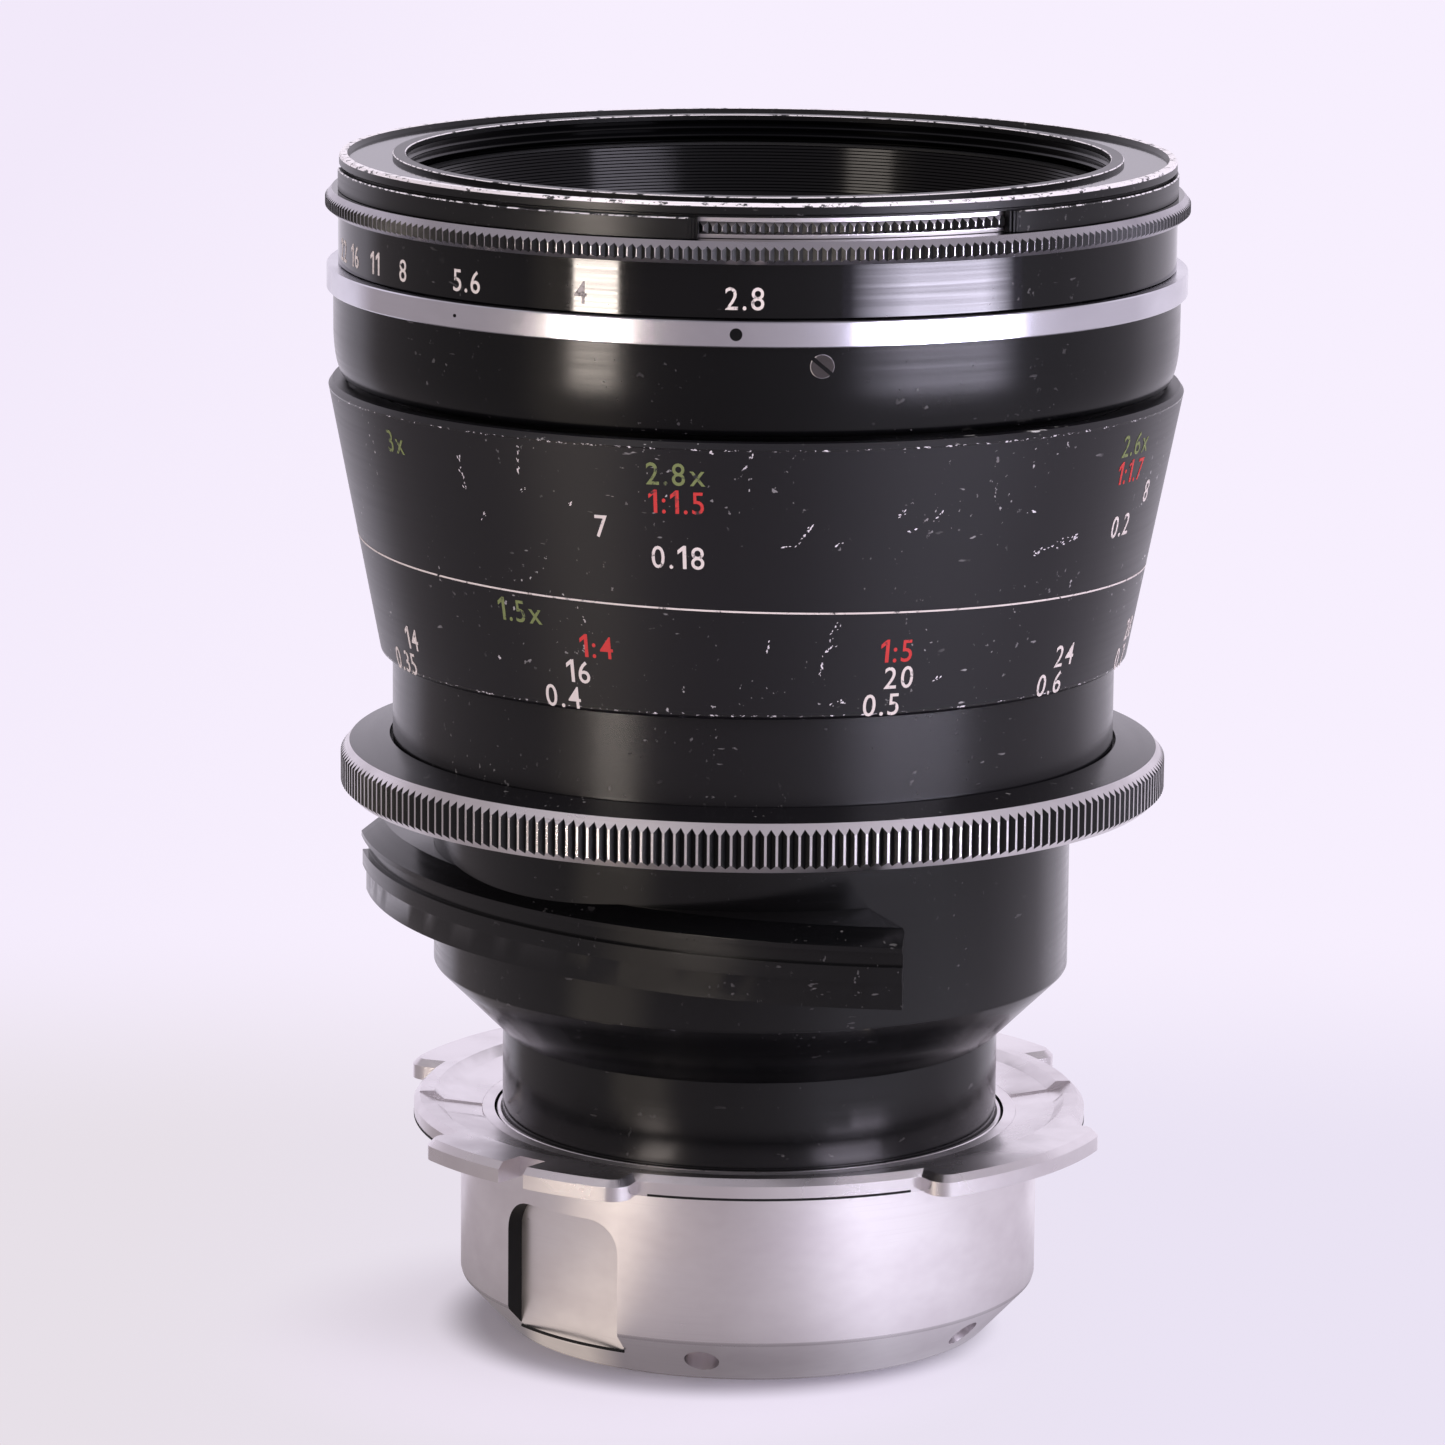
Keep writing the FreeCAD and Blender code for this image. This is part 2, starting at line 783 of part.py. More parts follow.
def sleeve_bearing():
    """Hanging sleeve that the cone turns on, with the collar that carries the band shell."""
    groove_low = sleeve_low + snap_ring_rise
    groove_high = groove_low + 2 * snap_ring_wire
    groove = sleeve_radius - snap_ring_wire
    body = ring([
        (sleeve_bore, sleeve_low),
        (sleeve_radius, sleeve_low),
        (sleeve_radius, groove_low),
        (groove, groove_low),
        (groove, groove_high),
        (sleeve_radius, groove_high),
        (sleeve_radius, collar_low),
        (band_bore - snug, collar_low),
        (band_bore - snug, tube_flange_low),
        (sleeve_bore, tube_flange_low),
    ])
    return body.cut(band_screw_holes())


def snap_ring():
    """Split wire ring that keeps the cone on its sleeve."""
    low = sleeve_low + snap_ring_rise
    inner = sleeve_radius - snap_ring_wire + snug
    wire = tube(inner + 2 * snap_ring_wire - 2 * snug, inner, low, low + 2 * snap_ring_wire)
    return wire.cut(sector(sleeve_radius + 5, low, low + 2 * snap_ring_wire, 180.0, snap_ring_gap_angle / 2))


def band_screw_bearings():
    """Bearings of the slotted screws in the band shell."""
    return [band_screw_bearing + number * 360 / band_screw_count for number in range(band_screw_count)]


def band_screw_holes():
    """Cutters for the slotted screws."""
    height = index_low - band_screw_drop
    inner = band_radius - band_screw_length
    bars = [
        radial_bar(band_screw_radius + snug, inner, band_radius + 1, height, bearing)
        for bearing in band_screw_bearings()
    ]
    return Part.makeCompound(bars)


def band_shell():
    """Glossy band between the cone and the index ring, rounded towards the cone."""
    low_radius = band_radius - band_round_width
    middle = Vector(band_radius - band_round_width * 0.22, 0, band_low + band_round_height * 0.38)
    corners = [
        Vector(band_bore, 0, band_low),
        Vector(low_radius, 0, band_low),
        Vector(band_radius, 0, band_low + band_round_height),
        Vector(band_radius, 0, index_low),
        Vector(band_bore, 0, index_low),
    ]
    edges = [Part.LineSegment(corners[0], corners[1]).toShape()]
    edges.append(Part.Arc(corners[1], middle, corners[2]).toShape())
    edges.append(Part.LineSegment(corners[2], corners[3]).toShape())
    edges.append(Part.LineSegment(corners[3], corners[4]).toShape())
    edges.append(Part.LineSegment(corners[4], corners[0]).toShape())
    shell = Part.Face(Part.Wire(edges)).revolve(ORIGIN, UP, 360)
    return shell.cut(band_screw_holes())


def band_screws():
    """Slotted screws that hold the band shell."""
    height = index_low - band_screw_drop
    inner = band_radius - band_screw_length
    screws = []
    for number, bearing in enumerate(band_screw_bearings()):
        screw = radial_bar(band_screw_radius, inner, band_radius - 0.1, height, bearing)
        slot = Part.makeBox(1.0, 3 * band_screw_radius, band_screw_slot, Vector(0, -1.5 * band_screw_radius, 0))
        slot.translate(Vector(band_radius - 0.6, 0, -band_screw_slot / 2))
        slot.rotate(ORIGIN, Vector(1, 0, 0), 55.0 + 40.0 * number)
        slot.translate(Vector(0, 0, height))
        screws.append(screw.cut(turned(slot, bearing)))
    return Part.makeCompound(screws)


def index_ring():
    """Bright turned ring that carries the index dot."""
    return ring([
        (index_bore, index_low),
        (index_radius - index_bevel, index_low),
        (index_radius, index_low + index_bevel),
        (index_radius, index_top - index_bevel),
        (index_radius - index_bevel, index_top),
        (index_bore, index_top),
    ])


def front_tube():
    """Moving tube that slides in the helicoid tube and carries all that is in front of it."""
    body = ring([
        (tube_bore, tube_low),
        (tube_radius, tube_low),
        (tube_radius, tube_flange_low),
        (index_bore - snug, tube_flange_low),
        (index_bore - snug, index_top),
        (tube_bore, index_top),
    ])
    slot_top = key_low() + key_height + travel_down + 0.2
    slot = block(tube_bore / 2, tube_radius + 0.05, key_width + 2 * running, tube_low, slot_top)
    for bearing in key_bearings:
        body = body.cut(turned(slot, bearing))
    return body


def travel_stop_ring():
    """Ring that closes the key slots at the bottom of the front tube."""
    return tube(tube_radius, tube_radius - stop_ring_wall, tube_low - stop_ring_height, tube_low)


def front_cap():
    """Front cap: hub, top plate, rim, windowed skirt and the filter thread's wall."""
    plate_top = front_top - plate_recess
    skirt_radius = preset_radius + skirt_wall + axial_gap
    body = ring([
        (filter_bore - baffle_step, index_top),
        (hub_radius, index_top),
        (hub_radius, skirt_top),
        (preset_radius + axial_gap, skirt_top),
        (preset_radius + axial_gap, preset_low),
        (skirt_radius, preset_low),
        (skirt_radius, skirt_top),
        (rim_radius - cap_groove_depth, skirt_top),
        (rim_radius - cap_groove_depth, rim_low),
        (rim_radius, rim_low),
        (rim_radius, front_top - rim_bevel),
        (rim_radius - rim_bevel, front_top),
        (rim_radius - rim_width, front_top),
        (rim_radius - rim_width, plate_top),
        (filter_bore + filter_lip_width, plate_top),
        (filter_bore + filter_lip_width, front_top),
        (filter_bore, front_top),
        (filter_bore, thread_low),
        (filter_bore + thread_relief, thread_low),
        (filter_bore + thread_relief, baffle_seat),
        (filter_bore - baffle_step, baffle_seat),
    ])
    for number in range(window_count):
        bearing = window_bearing + number * 360 / window_count
        window = arc_wall(skirt_radius + 1, hub_radius + 1, preset_low, skirt_top, bearing, window_half_angle)
        body = body.cut(window)
    half = aperture_turn / 2 + math.degrees(link_width / 2 / hub_radius) + 2
    notch = arc_wall(hub_radius + 1, filter_bore - baffle_step - 1, index_top, arm_top + link_arm_lift,
                     link_bearing + aperture_turn / 2, half)
    body = body.cut(notch)
    pocket = radial_bar(click_ball_radius + running, click_inner() - click_spring_length, hub_radius + 1,
                        scale_low + click_rise, click_bearing)
    return body.cut(pocket)


def click_inner():
    """Distance from the axis to the inner side of the click ball."""
    return hub_radius + click_ball_proud - 2 * click_ball_radius


def click_ball():
    """Ball that clicks into the aperture ring."""
    centre = place(click_inner() + click_ball_radius, click_bearing, scale_low + click_rise)
    return Part.makeSphere(click_ball_radius, centre)


def click_spring():
    """Spring behind the click ball, as a plain plug."""
    inner = click_inner() - click_spring_length
    return radial_bar(click_ball_radius, inner, click_inner(), scale_low + click_rise, click_bearing)


def front_baffle():
    """Blackened, ribbed light shade behind the filter thread."""
    outer = filter_bore - snug
    lower_outer = filter_bore - baffle_step - snug
    top_bore = outer - baffle_wall
    low_bore = top_bore - baffle_taper
    floor_top = baffle_low + baffle_floor
    profile = [
        (cell_radius - 0.1, cell_top),
        (cell_radius - 0.1, baffle_low),
        (lower_outer, baffle_low),
        (lower_outer, baffle_seat),
        (outer, baffle_seat),
        (outer, baffle_top),
        (top_bore, baffle_top),
    ]
    rib_step = (baffle_top - floor_top) / (baffle_ribs + 1)
    for number in range(1, baffle_ribs + 1):
        height = baffle_top - number * rib_step
        radius = low_bore + (top_bore - low_bore) * (height - floor_top) / (baffle_top - floor_top)
        profile.append((radius, height + rib_step * 0.3))
        profile.append((radius + baffle_rib_depth, height))
        profile.append((radius, height - rib_step * 0.3))
    profile += [
        (low_bore, floor_top),
        (baffle_throat_radius, floor_top),
        (baffle_foot_radius, cell_top),
    ]
    return ring(profile)


def aperture_scale_band():
    """Lower half of the aperture ring, which carries the stop numbers."""
    bore = hub_radius + running
    groove_low = scale_low + click_rise - click_groove_height / 2
    groove_high = groove_low + click_groove_height
    body = ring([
        (bore, scale_low),
        (scale_band_radius, scale_low),
        (scale_band_radius, scale_top),
        (bore, scale_top),
        (bore, groove_high),
        (bore + click_groove_depth, groove_high),
        (bore + click_groove_depth, groove_low),
        (bore, groove_low),
    ])
    return body.cut(link_foot())


def link_foot():
    """Seat of the iris link in the aperture ring."""
    width = link_width + 2 * snug
    foot = block(hub_radius - 1, hub_radius + running + 1.0 + snug, width, scale_low - 1, arm_top + snug)
    return turned(foot, link_bearing)


def aperture_knurl_ring():
    """Upper half of the aperture ring, with the fine knurl."""
    bore = hub_radius + running
    profile = [
        (bore, scale_top),
        (aperture_knurl_radius - aperture_bevel_width, scale_top),
        (aperture_knurl_radius, scale_top + aperture_low_bevel),
        (aperture_knurl_radius, aperture_top - aperture_top_bevel),
        (aperture_knurl_radius - aperture_bevel_width, aperture_top),
        (bore, aperture_top),
    ]
    return knurled(profile, aperture_knurl_radius, aperture_knurl_depth, aperture_knurls, scale_top, aperture_top)


def preset_ring():
    """Knurled preset ring that shows through the windows of the front cap."""
    bore = hub_radius + running
    profile = [
        (bore, preset_low),
        (preset_radius - preset_bevel, preset_low),
        (preset_radius, preset_low + preset_bevel),
        (preset_radius, preset_top - preset_bevel),
        (preset_radius - preset_bevel, preset_top),
        (bore, preset_top),
    ]
    return knurled(profile, preset_radius, preset_knurl_depth, preset_knurls, preset_low, preset_top)


def iris_link():
    """Bent arm that takes the aperture ring's turn down to the iris."""
    outer = tube_bore - free_gap
    inner = outer - link_thickness
    width = link_width
    arm = block(inner, hub_radius + running + 1.0, width, arm_low, arm_top)
    drop = block(inner, outer, width, drive_low, arm_top)
    link = arm.fuse(drop).removeSplitter()
    link = link.cut(block(0, hub_radius + 4, width + 1, arm_top, arm_top + 1))
    return turned(link, link_bearing)


def blade_pivot(number):
    """Bearing of one blade's pivot."""
    return iris_bearing + number * 360 / iris_blades


def drive_path(steps=8):
    """Centre line of a drive slot in the drive ring, for a pivot on the +X axis."""
    points = []
    for step in range(steps + 1):
        ring_turn = math.radians(aperture_turn * step / steps)
        blade = math.radians(blade_turn * step / steps)
        x = pivot_circle + blade_lever * math.sin(blade)
        y = -blade_lever * math.cos(blade)
        reach = math.hypot(x, y)
        angle = math.atan2(y, x) - ring_turn
        points.append(Vector(reach * math.cos(angle), reach * math.sin(angle), 0))
    return points


def slot_cutter(width):
    """Cutter along the drive path, as a chain of straight slots with round ends."""
    low = drive_low - 1
    high = drive_high + 1
    path = drive_path()
    cutter = disc(width / 2, low, high, path[0].x, path[0].y)
    for start, end in zip(path, path[1:]):
        run = end - start
        side = Vector(-run.y, run.x, 0).normalize() * (width / 2)
        points = [start + side, end + side, end - side, start - side]
        points = [Vector(point.x, point.y, low) for point in points]
        bar = Part.Face(Part.makePolygon(points + points[:1])).extrude(Vector(0, 0, high - low))
        cutter = cutter.fuse(bar).fuse(disc(width / 2, low, high, end.x, end.y))
    return cutter


def iris_drive_ring():
    """Slotted ring that swings the blades."""
    outer = iris_housing_radius - iris_housing_wall - drive_ring_edge
    body = tube(outer, drive_ring_bore, drive_low, drive_high)
    cutter = slot_cutter(2 * (drive_pin_radius + drive_slot_clearance))
    for number in range(iris_blades):
        body = body.cut(turned(cutter, blade_pivot(number)))
    link_inner = tube_bore - free_gap - link_thickness
    tab = block(outer - 0.5, link_inner, link_width * 0.6, drive_low, drive_high)
    return body.fuse(turned(tab, link_bearing)).removeSplitter()


def iris_housing():
    """Cup that holds the blades, with their pivot pins."""
    bore = iris_housing_radius - iris_housing_wall
    body = ring([
        (iris_stop_radius, iris_low),
        (iris_housing_radius, iris_low),
        (iris_housing_radius, iris_high),
        (bore, iris_high),
        (bore, iris_low + iris_housing_floor),
        (iris_stop_radius, iris_low + iris_housing_floor),
    ])
    half = aperture_turn / 2 + math.degrees(link_width / 2 / iris_housing_radius) + 2
    notch = arc_wall(iris_housing_radius + 1, bore - 1, drive_low - 0.3, iris_high,
                     link_bearing + aperture_turn / 2, half)
    return body.cut(notch)


def iris_pivots():
    """Pins that the blades turn on."""
    low = iris_low + iris_housing_floor
    high = blade_low + iris_blades * blade_pitch
    pins = []
    for number in range(iris_blades):
        centre = place(pivot_circle, blade_pivot(number), low)
        pins.append(Part.makeCylinder(pivot_radius, high - low, centre, UP))
    return Part.makeCompound(pins)


def iris_cover():
    """Ring that keeps the drive ring down."""
    outer = iris_housing_radius - iris_housing_wall - snug
    low = drive_high + axial_gap
    body = tube(outer, drive_ring_bore + 0.5, low, low + iris_cover_thickness)
    collar = tube(outer, outer - 1.5, low + iris_cover_thickness, iris_high)
    return body.fuse(collar).removeSplitter()


def iris_blade(number):
    """One crescent blade with its pivot ear, lever and drive pin."""
    low = blade_low + number * blade_pitch
    high = low + blade_thickness
    half = blade_span / 2
    crescent = tube(blade_outer_radius, blade_inner_radius, low, high)
    middle = 90.0 + half - 4.0
    crescent = crescent.common(sector(blade_outer_radius + 5, low, high, middle, half))
    root = block(blade_outer_radius - 1.5, pivot_circle, 2.4 * pivot_ear, low, high)
    blade = crescent.fuse(root).fuse(disc(pivot_ear, low, high, pivot_circle))
    lever = Part.makeBox(2 * pivot_radius, blade_lever, high - low, Vector(pivot_circle - pivot_radius, -blade_lever, low))
    blade = blade.fuse(lever).fuse(disc(2 * drive_pin_radius, low, high, pivot_circle, -blade_lever))
    blade = blade.cut(disc(pivot_radius + running, low - 1, high + 1, pivot_circle))
    blade = blade.fuse(disc(drive_pin_radius, low, drive_high - 0.1, pivot_circle, -blade_lever))
    return turned(blade.removeSplitter(), blade_pivot(number))


def front_cell():
    """Front optical cell, held in the front tube by its slotted flange."""
    flange_top_z = cell_top - cell_flange_drop
    flange_low = flange_top_z - cell_flange_thickness
    glass_seat = cell_low + front_glass_seat
    body = ring([
        (cell_throat, cell_low),
        (cell_radius, cell_low),
        (cell_radius, flange_low),
        (tube_bore - snug, flange_low),
        (tube_bore - snug, flange_top_z),
        (cell_radius, flange_top_z),
        (cell_radius, cell_top),
        (front_glass_radius + snug, cell_top),
        (front_glass_radius + snug, glass_seat),
        (pair_radius + snug, glass_seat),
        (pair_radius + snug, cell_low + pair_seat),
        (cell_throat, cell_low + pair_seat),
    ])
    half = aperture_turn / 2 + math.degrees(link_width / 2 / cell_radius) + 2
    slot = arc_wall(tube_bore + 1, cell_radius, flange_low, flange_top_z, link_bearing + aperture_turn / 2, half)
    return body.cut(slot)


def pair_levels():
    """Edge heights of the cemented front pair: rear face, joint and front face."""
    low = cell_low + pair_seat
    return low, low + flint_edge, low + flint_edge + crown_edge


def front_flint():
    """Rear half of the cemented front pair, hollow towards the iris."""
    low, joint, _ = pair_levels()
    return glass(pair_radius, low, joint, -pair_rear_sag * 0.5, pair_inner_sag)


def front_crown():
    """Front half of the cemented front pair."""
    _, joint, high = pair_levels()
    return glass(pair_radius, joint, high, -pair_inner_sag, pair_front_sag)


def pair_spacer():
    """Ring between the cemented pair and the front element's seat."""
    _, _, edge = pair_levels()
    height = cell_low + front_glass_seat - edge
    return glass_ring(pair_radius, pair_ring_width, edge, height, pair_front_sag, 1)


def front_element():
    """Front lens element."""
    low = cell_low + front_glass_seat
    return glass(front_glass_radius, low, low + front_glass_edge, -front_glass_rear_sag, front_glass_front_sag)


def front_retaining_ring():
    """Threaded ring that holds the front element."""
    edge = cell_low + front_glass_seat + front_glass_edge
    return glass_ring(front_glass_radius, front_ring_width, edge, front_ring_height, front_glass_front_sag, 1)


def rear_cell():
    """Rear optical cell below the iris housing."""
    flange_low = iris_low - rear_flange_thickness
    pair_low = iris_low - rear_pair_depth
    glass_seat = rear_cell_low + rear_glass_seat
    return ring([
        (rear_glass_radius + snug, rear_cell_low),
        (rear_cell_radius, rear_cell_low),
        (rear_cell_radius, flange_low),
        (iris_housing_radius, flange_low),
        (iris_housing_radius, iris_low),
        (rear_pair_radius + snug, iris_low),
        (rear_pair_radius + snug, pair_low),
        (rear_throat, pair_low),
        (rear_throat, glass_seat),
        (rear_glass_radius + snug, glass_seat),
    ])


def rear_pair_levels():
    """Edge heights of the cemented rear pair: rear face, joint and front face."""
    low = iris_low - rear_pair_depth
    return low, low + rear_crown_edge, low + rear_crown_edge + rear_flint_edge


def rear_crown():
    """Rear half of the cemented rear pair."""
    low, joint, _ = rear_pair_levels()
    return glass(rear_pair_radius, low, joint, -rear_pair_rear_sag * 0.4, rear_pair_inner_sag)


def rear_flint():
    """Front half of the cemented rear pair, hollow towards the iris."""
    _, joint, high = rear_pair_levels()
    return glass(rear_pair_radius, joint, high, -rear_pair_inner_sag, -rear_pair_front_sag)


def rear_pair_ring():
    """Ring that keeps the rear pair on its seat."""
    _, _, high = rear_pair_levels()
    return tube(rear_pair_radius, rear_pair_radius - pair_ring_width, high, iris_low)


def rear_element():
    """Rear lens element."""
    high = rear_cell_low + rear_glass_seat
    low = high - rear_glass_edge
    return glass(rear_glass_radius, low, high, rear_glass_rear_sag, -rear_glass_front_sag)


def rear_retaining_ring():
    """Threaded ring that holds the rear element."""
    edge = rear_cell_low + rear_glass_seat - rear_glass_edge
    return glass_ring(rear_glass_radius, rear_ring_width, edge, rear_ring_height, rear_glass_rear_sag, -1)


save("mount_barrel", mount_barrel())
save("mount_lip_ring", mount_lip_ring())
save("mount_flange", mount_flange())
save("rear_body", rear_body())
save("grip_wing", grip_wing())
save("grip_screws", grip_screws())
save("rear_baffle", rear_baffle())
save("clamp_ring", clamp_ring())
save("helicoid_tube", helicoid_tube())
save("guide_keys", guide_keys())
save("focus_cone", focus_cone())
save("focus_nut", focus_nut())
save("sleeve_bearing", sleeve_bearing())
save("snap_ring", snap_ring())
save("band_shell", band_shell())
save("band_screws", band_screws())
save("index_ring", index_ring())
save("front_tube", front_tube())
save("travel_stop_ring", travel_stop_ring())
save("front_cap", front_cap())
save("click_ball", click_ball())
save("click_spring", click_spring())
save("front_baffle", front_baffle())
save("aperture_scale_band", aperture_scale_band())
save("aperture_knurl_ring", aperture_knurl_ring())
save("preset_ring", preset_ring())
save("iris_link", iris_link())
save("iris_drive_ring", iris_drive_ring())
save("iris_housing", iris_housing())
save("iris_pivots", iris_pivots())
save("iris_cover", iris_cover())
for blade_number in range(iris_blades):
    save("iris_blade_" + str(blade_number + 1), iris_blade(blade_number))
save("front_cell", front_cell())
save("front_flint", front_flint())
save("front_crown", front_crown())
save("pair_spacer", pair_spacer())
save("front_element", front_element())
save("front_retaining_ring", front_retaining_ring())
save("rear_cell", rear_cell())
save("rear_crown", rear_crown())
save("rear_flint", rear_flint())
save("rear_pair_ring", rear_pair_ring())
save("rear_element", rear_element())
save("rear_retaining_ring", rear_retaining_ring())
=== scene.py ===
"""Macro lens with a lugged cine mount, dressed for a studio view.

Sizes are in millimetres in the classes and in metres in the meshes. Z is the optical axis.
A bearing is an angle in degrees round the axis, from the front of the view (-Y) towards +X.
"""

import logging
import math
import random
from dataclasses import dataclass, field
from enum import Enum
from typing import Callable, Optional, Sequence

import bmesh
import bpy
from mathutils import Matrix, Vector


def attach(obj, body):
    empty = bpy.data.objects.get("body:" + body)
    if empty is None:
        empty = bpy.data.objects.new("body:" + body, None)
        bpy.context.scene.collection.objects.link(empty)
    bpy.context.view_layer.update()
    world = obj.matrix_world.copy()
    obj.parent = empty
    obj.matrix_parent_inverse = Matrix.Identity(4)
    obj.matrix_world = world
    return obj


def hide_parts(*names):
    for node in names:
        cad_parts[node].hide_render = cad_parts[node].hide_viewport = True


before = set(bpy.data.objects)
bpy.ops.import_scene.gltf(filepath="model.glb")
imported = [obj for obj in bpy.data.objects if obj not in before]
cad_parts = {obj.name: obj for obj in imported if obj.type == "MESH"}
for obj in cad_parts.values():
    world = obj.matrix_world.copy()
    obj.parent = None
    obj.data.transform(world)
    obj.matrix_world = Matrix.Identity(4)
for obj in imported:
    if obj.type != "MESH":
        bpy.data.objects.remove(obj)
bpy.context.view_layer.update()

MM = 0.001
log = logging.getLogger("macro_lens")
Point = tuple[float, float]
Triple = tuple[float, float, float]
Tree = bpy.types.NodeTree
Node = bpy.types.Node
Socket = bpy.types.NodeSocket
Material = bpy.types.Material
Mesh = bpy.types.Mesh
Piece = bpy.types.Object


def linear(hex_colour: str) -> tuple[float, float, float, float]:
    """Turn an sRGB hex colour into linear values.

    Args:
        hex_colour: six hex digits with a leading hash.

    Returns:
        Red, green, blue and an alpha of one.
    """
    values = [int(hex_colour[place:place + 2], 16) / 255 for place in (1, 3, 5)]
    parts = [v / 12.92 if v <= 0.04045 else ((v + 0.055) / 1.055) ** 2.4 for v in values]
    return parts[0], parts[1], parts[2], 1.0


def add(tree: Tree, kind: str, settings: Optional[dict] = None, inputs: Optional[dict] = None) -> Node:
    """Add one node to a tree.

    Args:
        tree: the node tree.
        kind: the node's type name.
        settings: attributes of the node.
        inputs: values, output sockets, or nodes whose first output is meant, by the input's name
            or number.

    Returns:
        The new node.
    """
    made = tree.nodes.new(kind)
    for name, value in (settings or {}).items():
        setattr(made, name, value)
    for name, value in (inputs or {}).items():
        source = value.outputs[0] if isinstance(value, Node) else value
        if isinstance(source, Socket):
            tree.links.new(source, made.inputs[name])
        else:
            made.inputs[name].default_value = source
    return made


def place(radius: float, bearing: float, height: float) -> Vector:
    """Point in metres at a radius, bearing and height given in millimetres and degrees."""
    angle = math.radians(bearing)
    return Vector((radius * math.sin(angle), -radius * math.cos(angle), height)) * MM


def bearing_of(tree: Tree, where: Socket) -> Node:
    """Node that gives the bearing, in radians, of a place or a direction."""
    parts = add(tree, "ShaderNodeSeparateXYZ", {}, {0: where})
    ahead = add(tree, "ShaderNodeMath", {"operation": "MULTIPLY"}, {0: parts.outputs["Y"], 1: -1.0})
    return add(tree, "ShaderNodeMath", {"operation": "ARCTAN2"}, {0: parts.outputs["X"], 1: ahead})


class Zone(Enum):
    """Which part of a knurled ring a face belongs to."""

    BODY = 0
    LAND = 1
    GROOVE = 2


# Finishes


@dataclass(frozen=True)
class Finish:
    """A plain surface with one colour.

    Attributes:
        name: what the finish is called.
        colour: sRGB hex colour.
        metallic: one for bare metal, zero for paint, anodising and plastic.
        roughness: how much the surface blurs a reflection.
        specular: strength of a coating's reflection, 0.5 at an index of 1.5.
        anisotropy: how far turning marks stretch a highlight along the axis.
    """

    name: str
    colour: str
    metallic: float = 0.0
    roughness: float = 0.4
    specular: float = 0.5
    anisotropy: float = 0.0

    def material(self) -> Material:
        """Build the material at the first call.

        Returns:
            The material of this finish.
        """
        known = bpy.data.materials.get(self.name)
        if known:
            return known
        made = bpy.data.materials.new(self.name)
        made.use_nodes = True
        made.diffuse_color = linear(self.colour)
        tree = made.node_tree
        shader = tree.nodes["Principled BSDF"]
        shader.inputs["Base Color"].default_value = linear(self.colour)
        shader.inputs["Metallic"].default_value = self.metallic
        shader.inputs["Roughness"].default_value = self.roughness
        shader.inputs["Specular IOR Level"].default_value = self.specular
        if self.anisotropy:
            quarter_turn = 0.25
            shader.inputs["Anisotropic"].default_value = self.anisotropy
            shader.inputs["Anisotropic Rotation"].default_value = quarter_turn
            tangent = add(tree, "ShaderNodeTangent", {"direction_type": "RADIAL", "axis": "Z"})
            tree.links.new(tangent.outputs["Tangent"], shader.inputs["Tangent"])
        self.dress(tree, shader)
        return made

    def dress(self, tree: Tree, shader: Node) -> None:
        """Add the finish's own pattern.

        Args:
            tree: the material's node tree.
            shader: its Principled node.
        """

    def pattern(self, tree: Tree, sizes: Sequence[float], detail: float = 3.0, rough: float = 0.5) -> Node:
        """Noise on object coordinates.

        Args:
            tree: the node tree.
            sizes: size of one cycle along X, Y and Z in millimetres.
            detail: number of finer layers.
            rough: weight of the finer layers.

        Returns:
            The noise node.
        """
        where = add(tree, "ShaderNodeTexCoord").outputs["Object"]
        scale = tuple(1.0 / (size * MM) for size in sizes)
        mapped = add(tree, "ShaderNodeMapping", {}, {"Vector": where, "Scale": scale})
        return add(tree, "ShaderNodeTexNoise", {}, {
            "Vector": mapped, "Scale": 1.0, "Detail": detail, "Roughness": rough})


@dataclass(frozen=True)
class Wear:
    """One kind of worn mark. It shows where its own noise and that of a wider patch are both high.

    Attributes:
        size: size of a mark along X, Y and Z in millimetres.
        rough: weight of the mark's finer layers.
        start: noise value at which a mark starts.
        full: noise value at which it is full.
        patch: size of a worn patch along X, Y and Z in millimetres.
        patch_start: noise value at which a patch starts.
        patch_full: noise value at which it is full.
    """

    size: Triple
    rough: float
    start: float
    full: float
    patch: Triple
    patch_start: float
    patch_full: float


CHIPS = Wear((1.9231, 1.9231, 0.6667), 0.5, 0.7, 0.73, (11.1111, 11.1111, 13.3333), 0.54, 0.66)
FLECKS = Wear((0.5882, 0.5882, 0.6667), 0.55, 0.68, 0.72, (8.3333, 8.3333, 10.0), 0.5, 0.66)


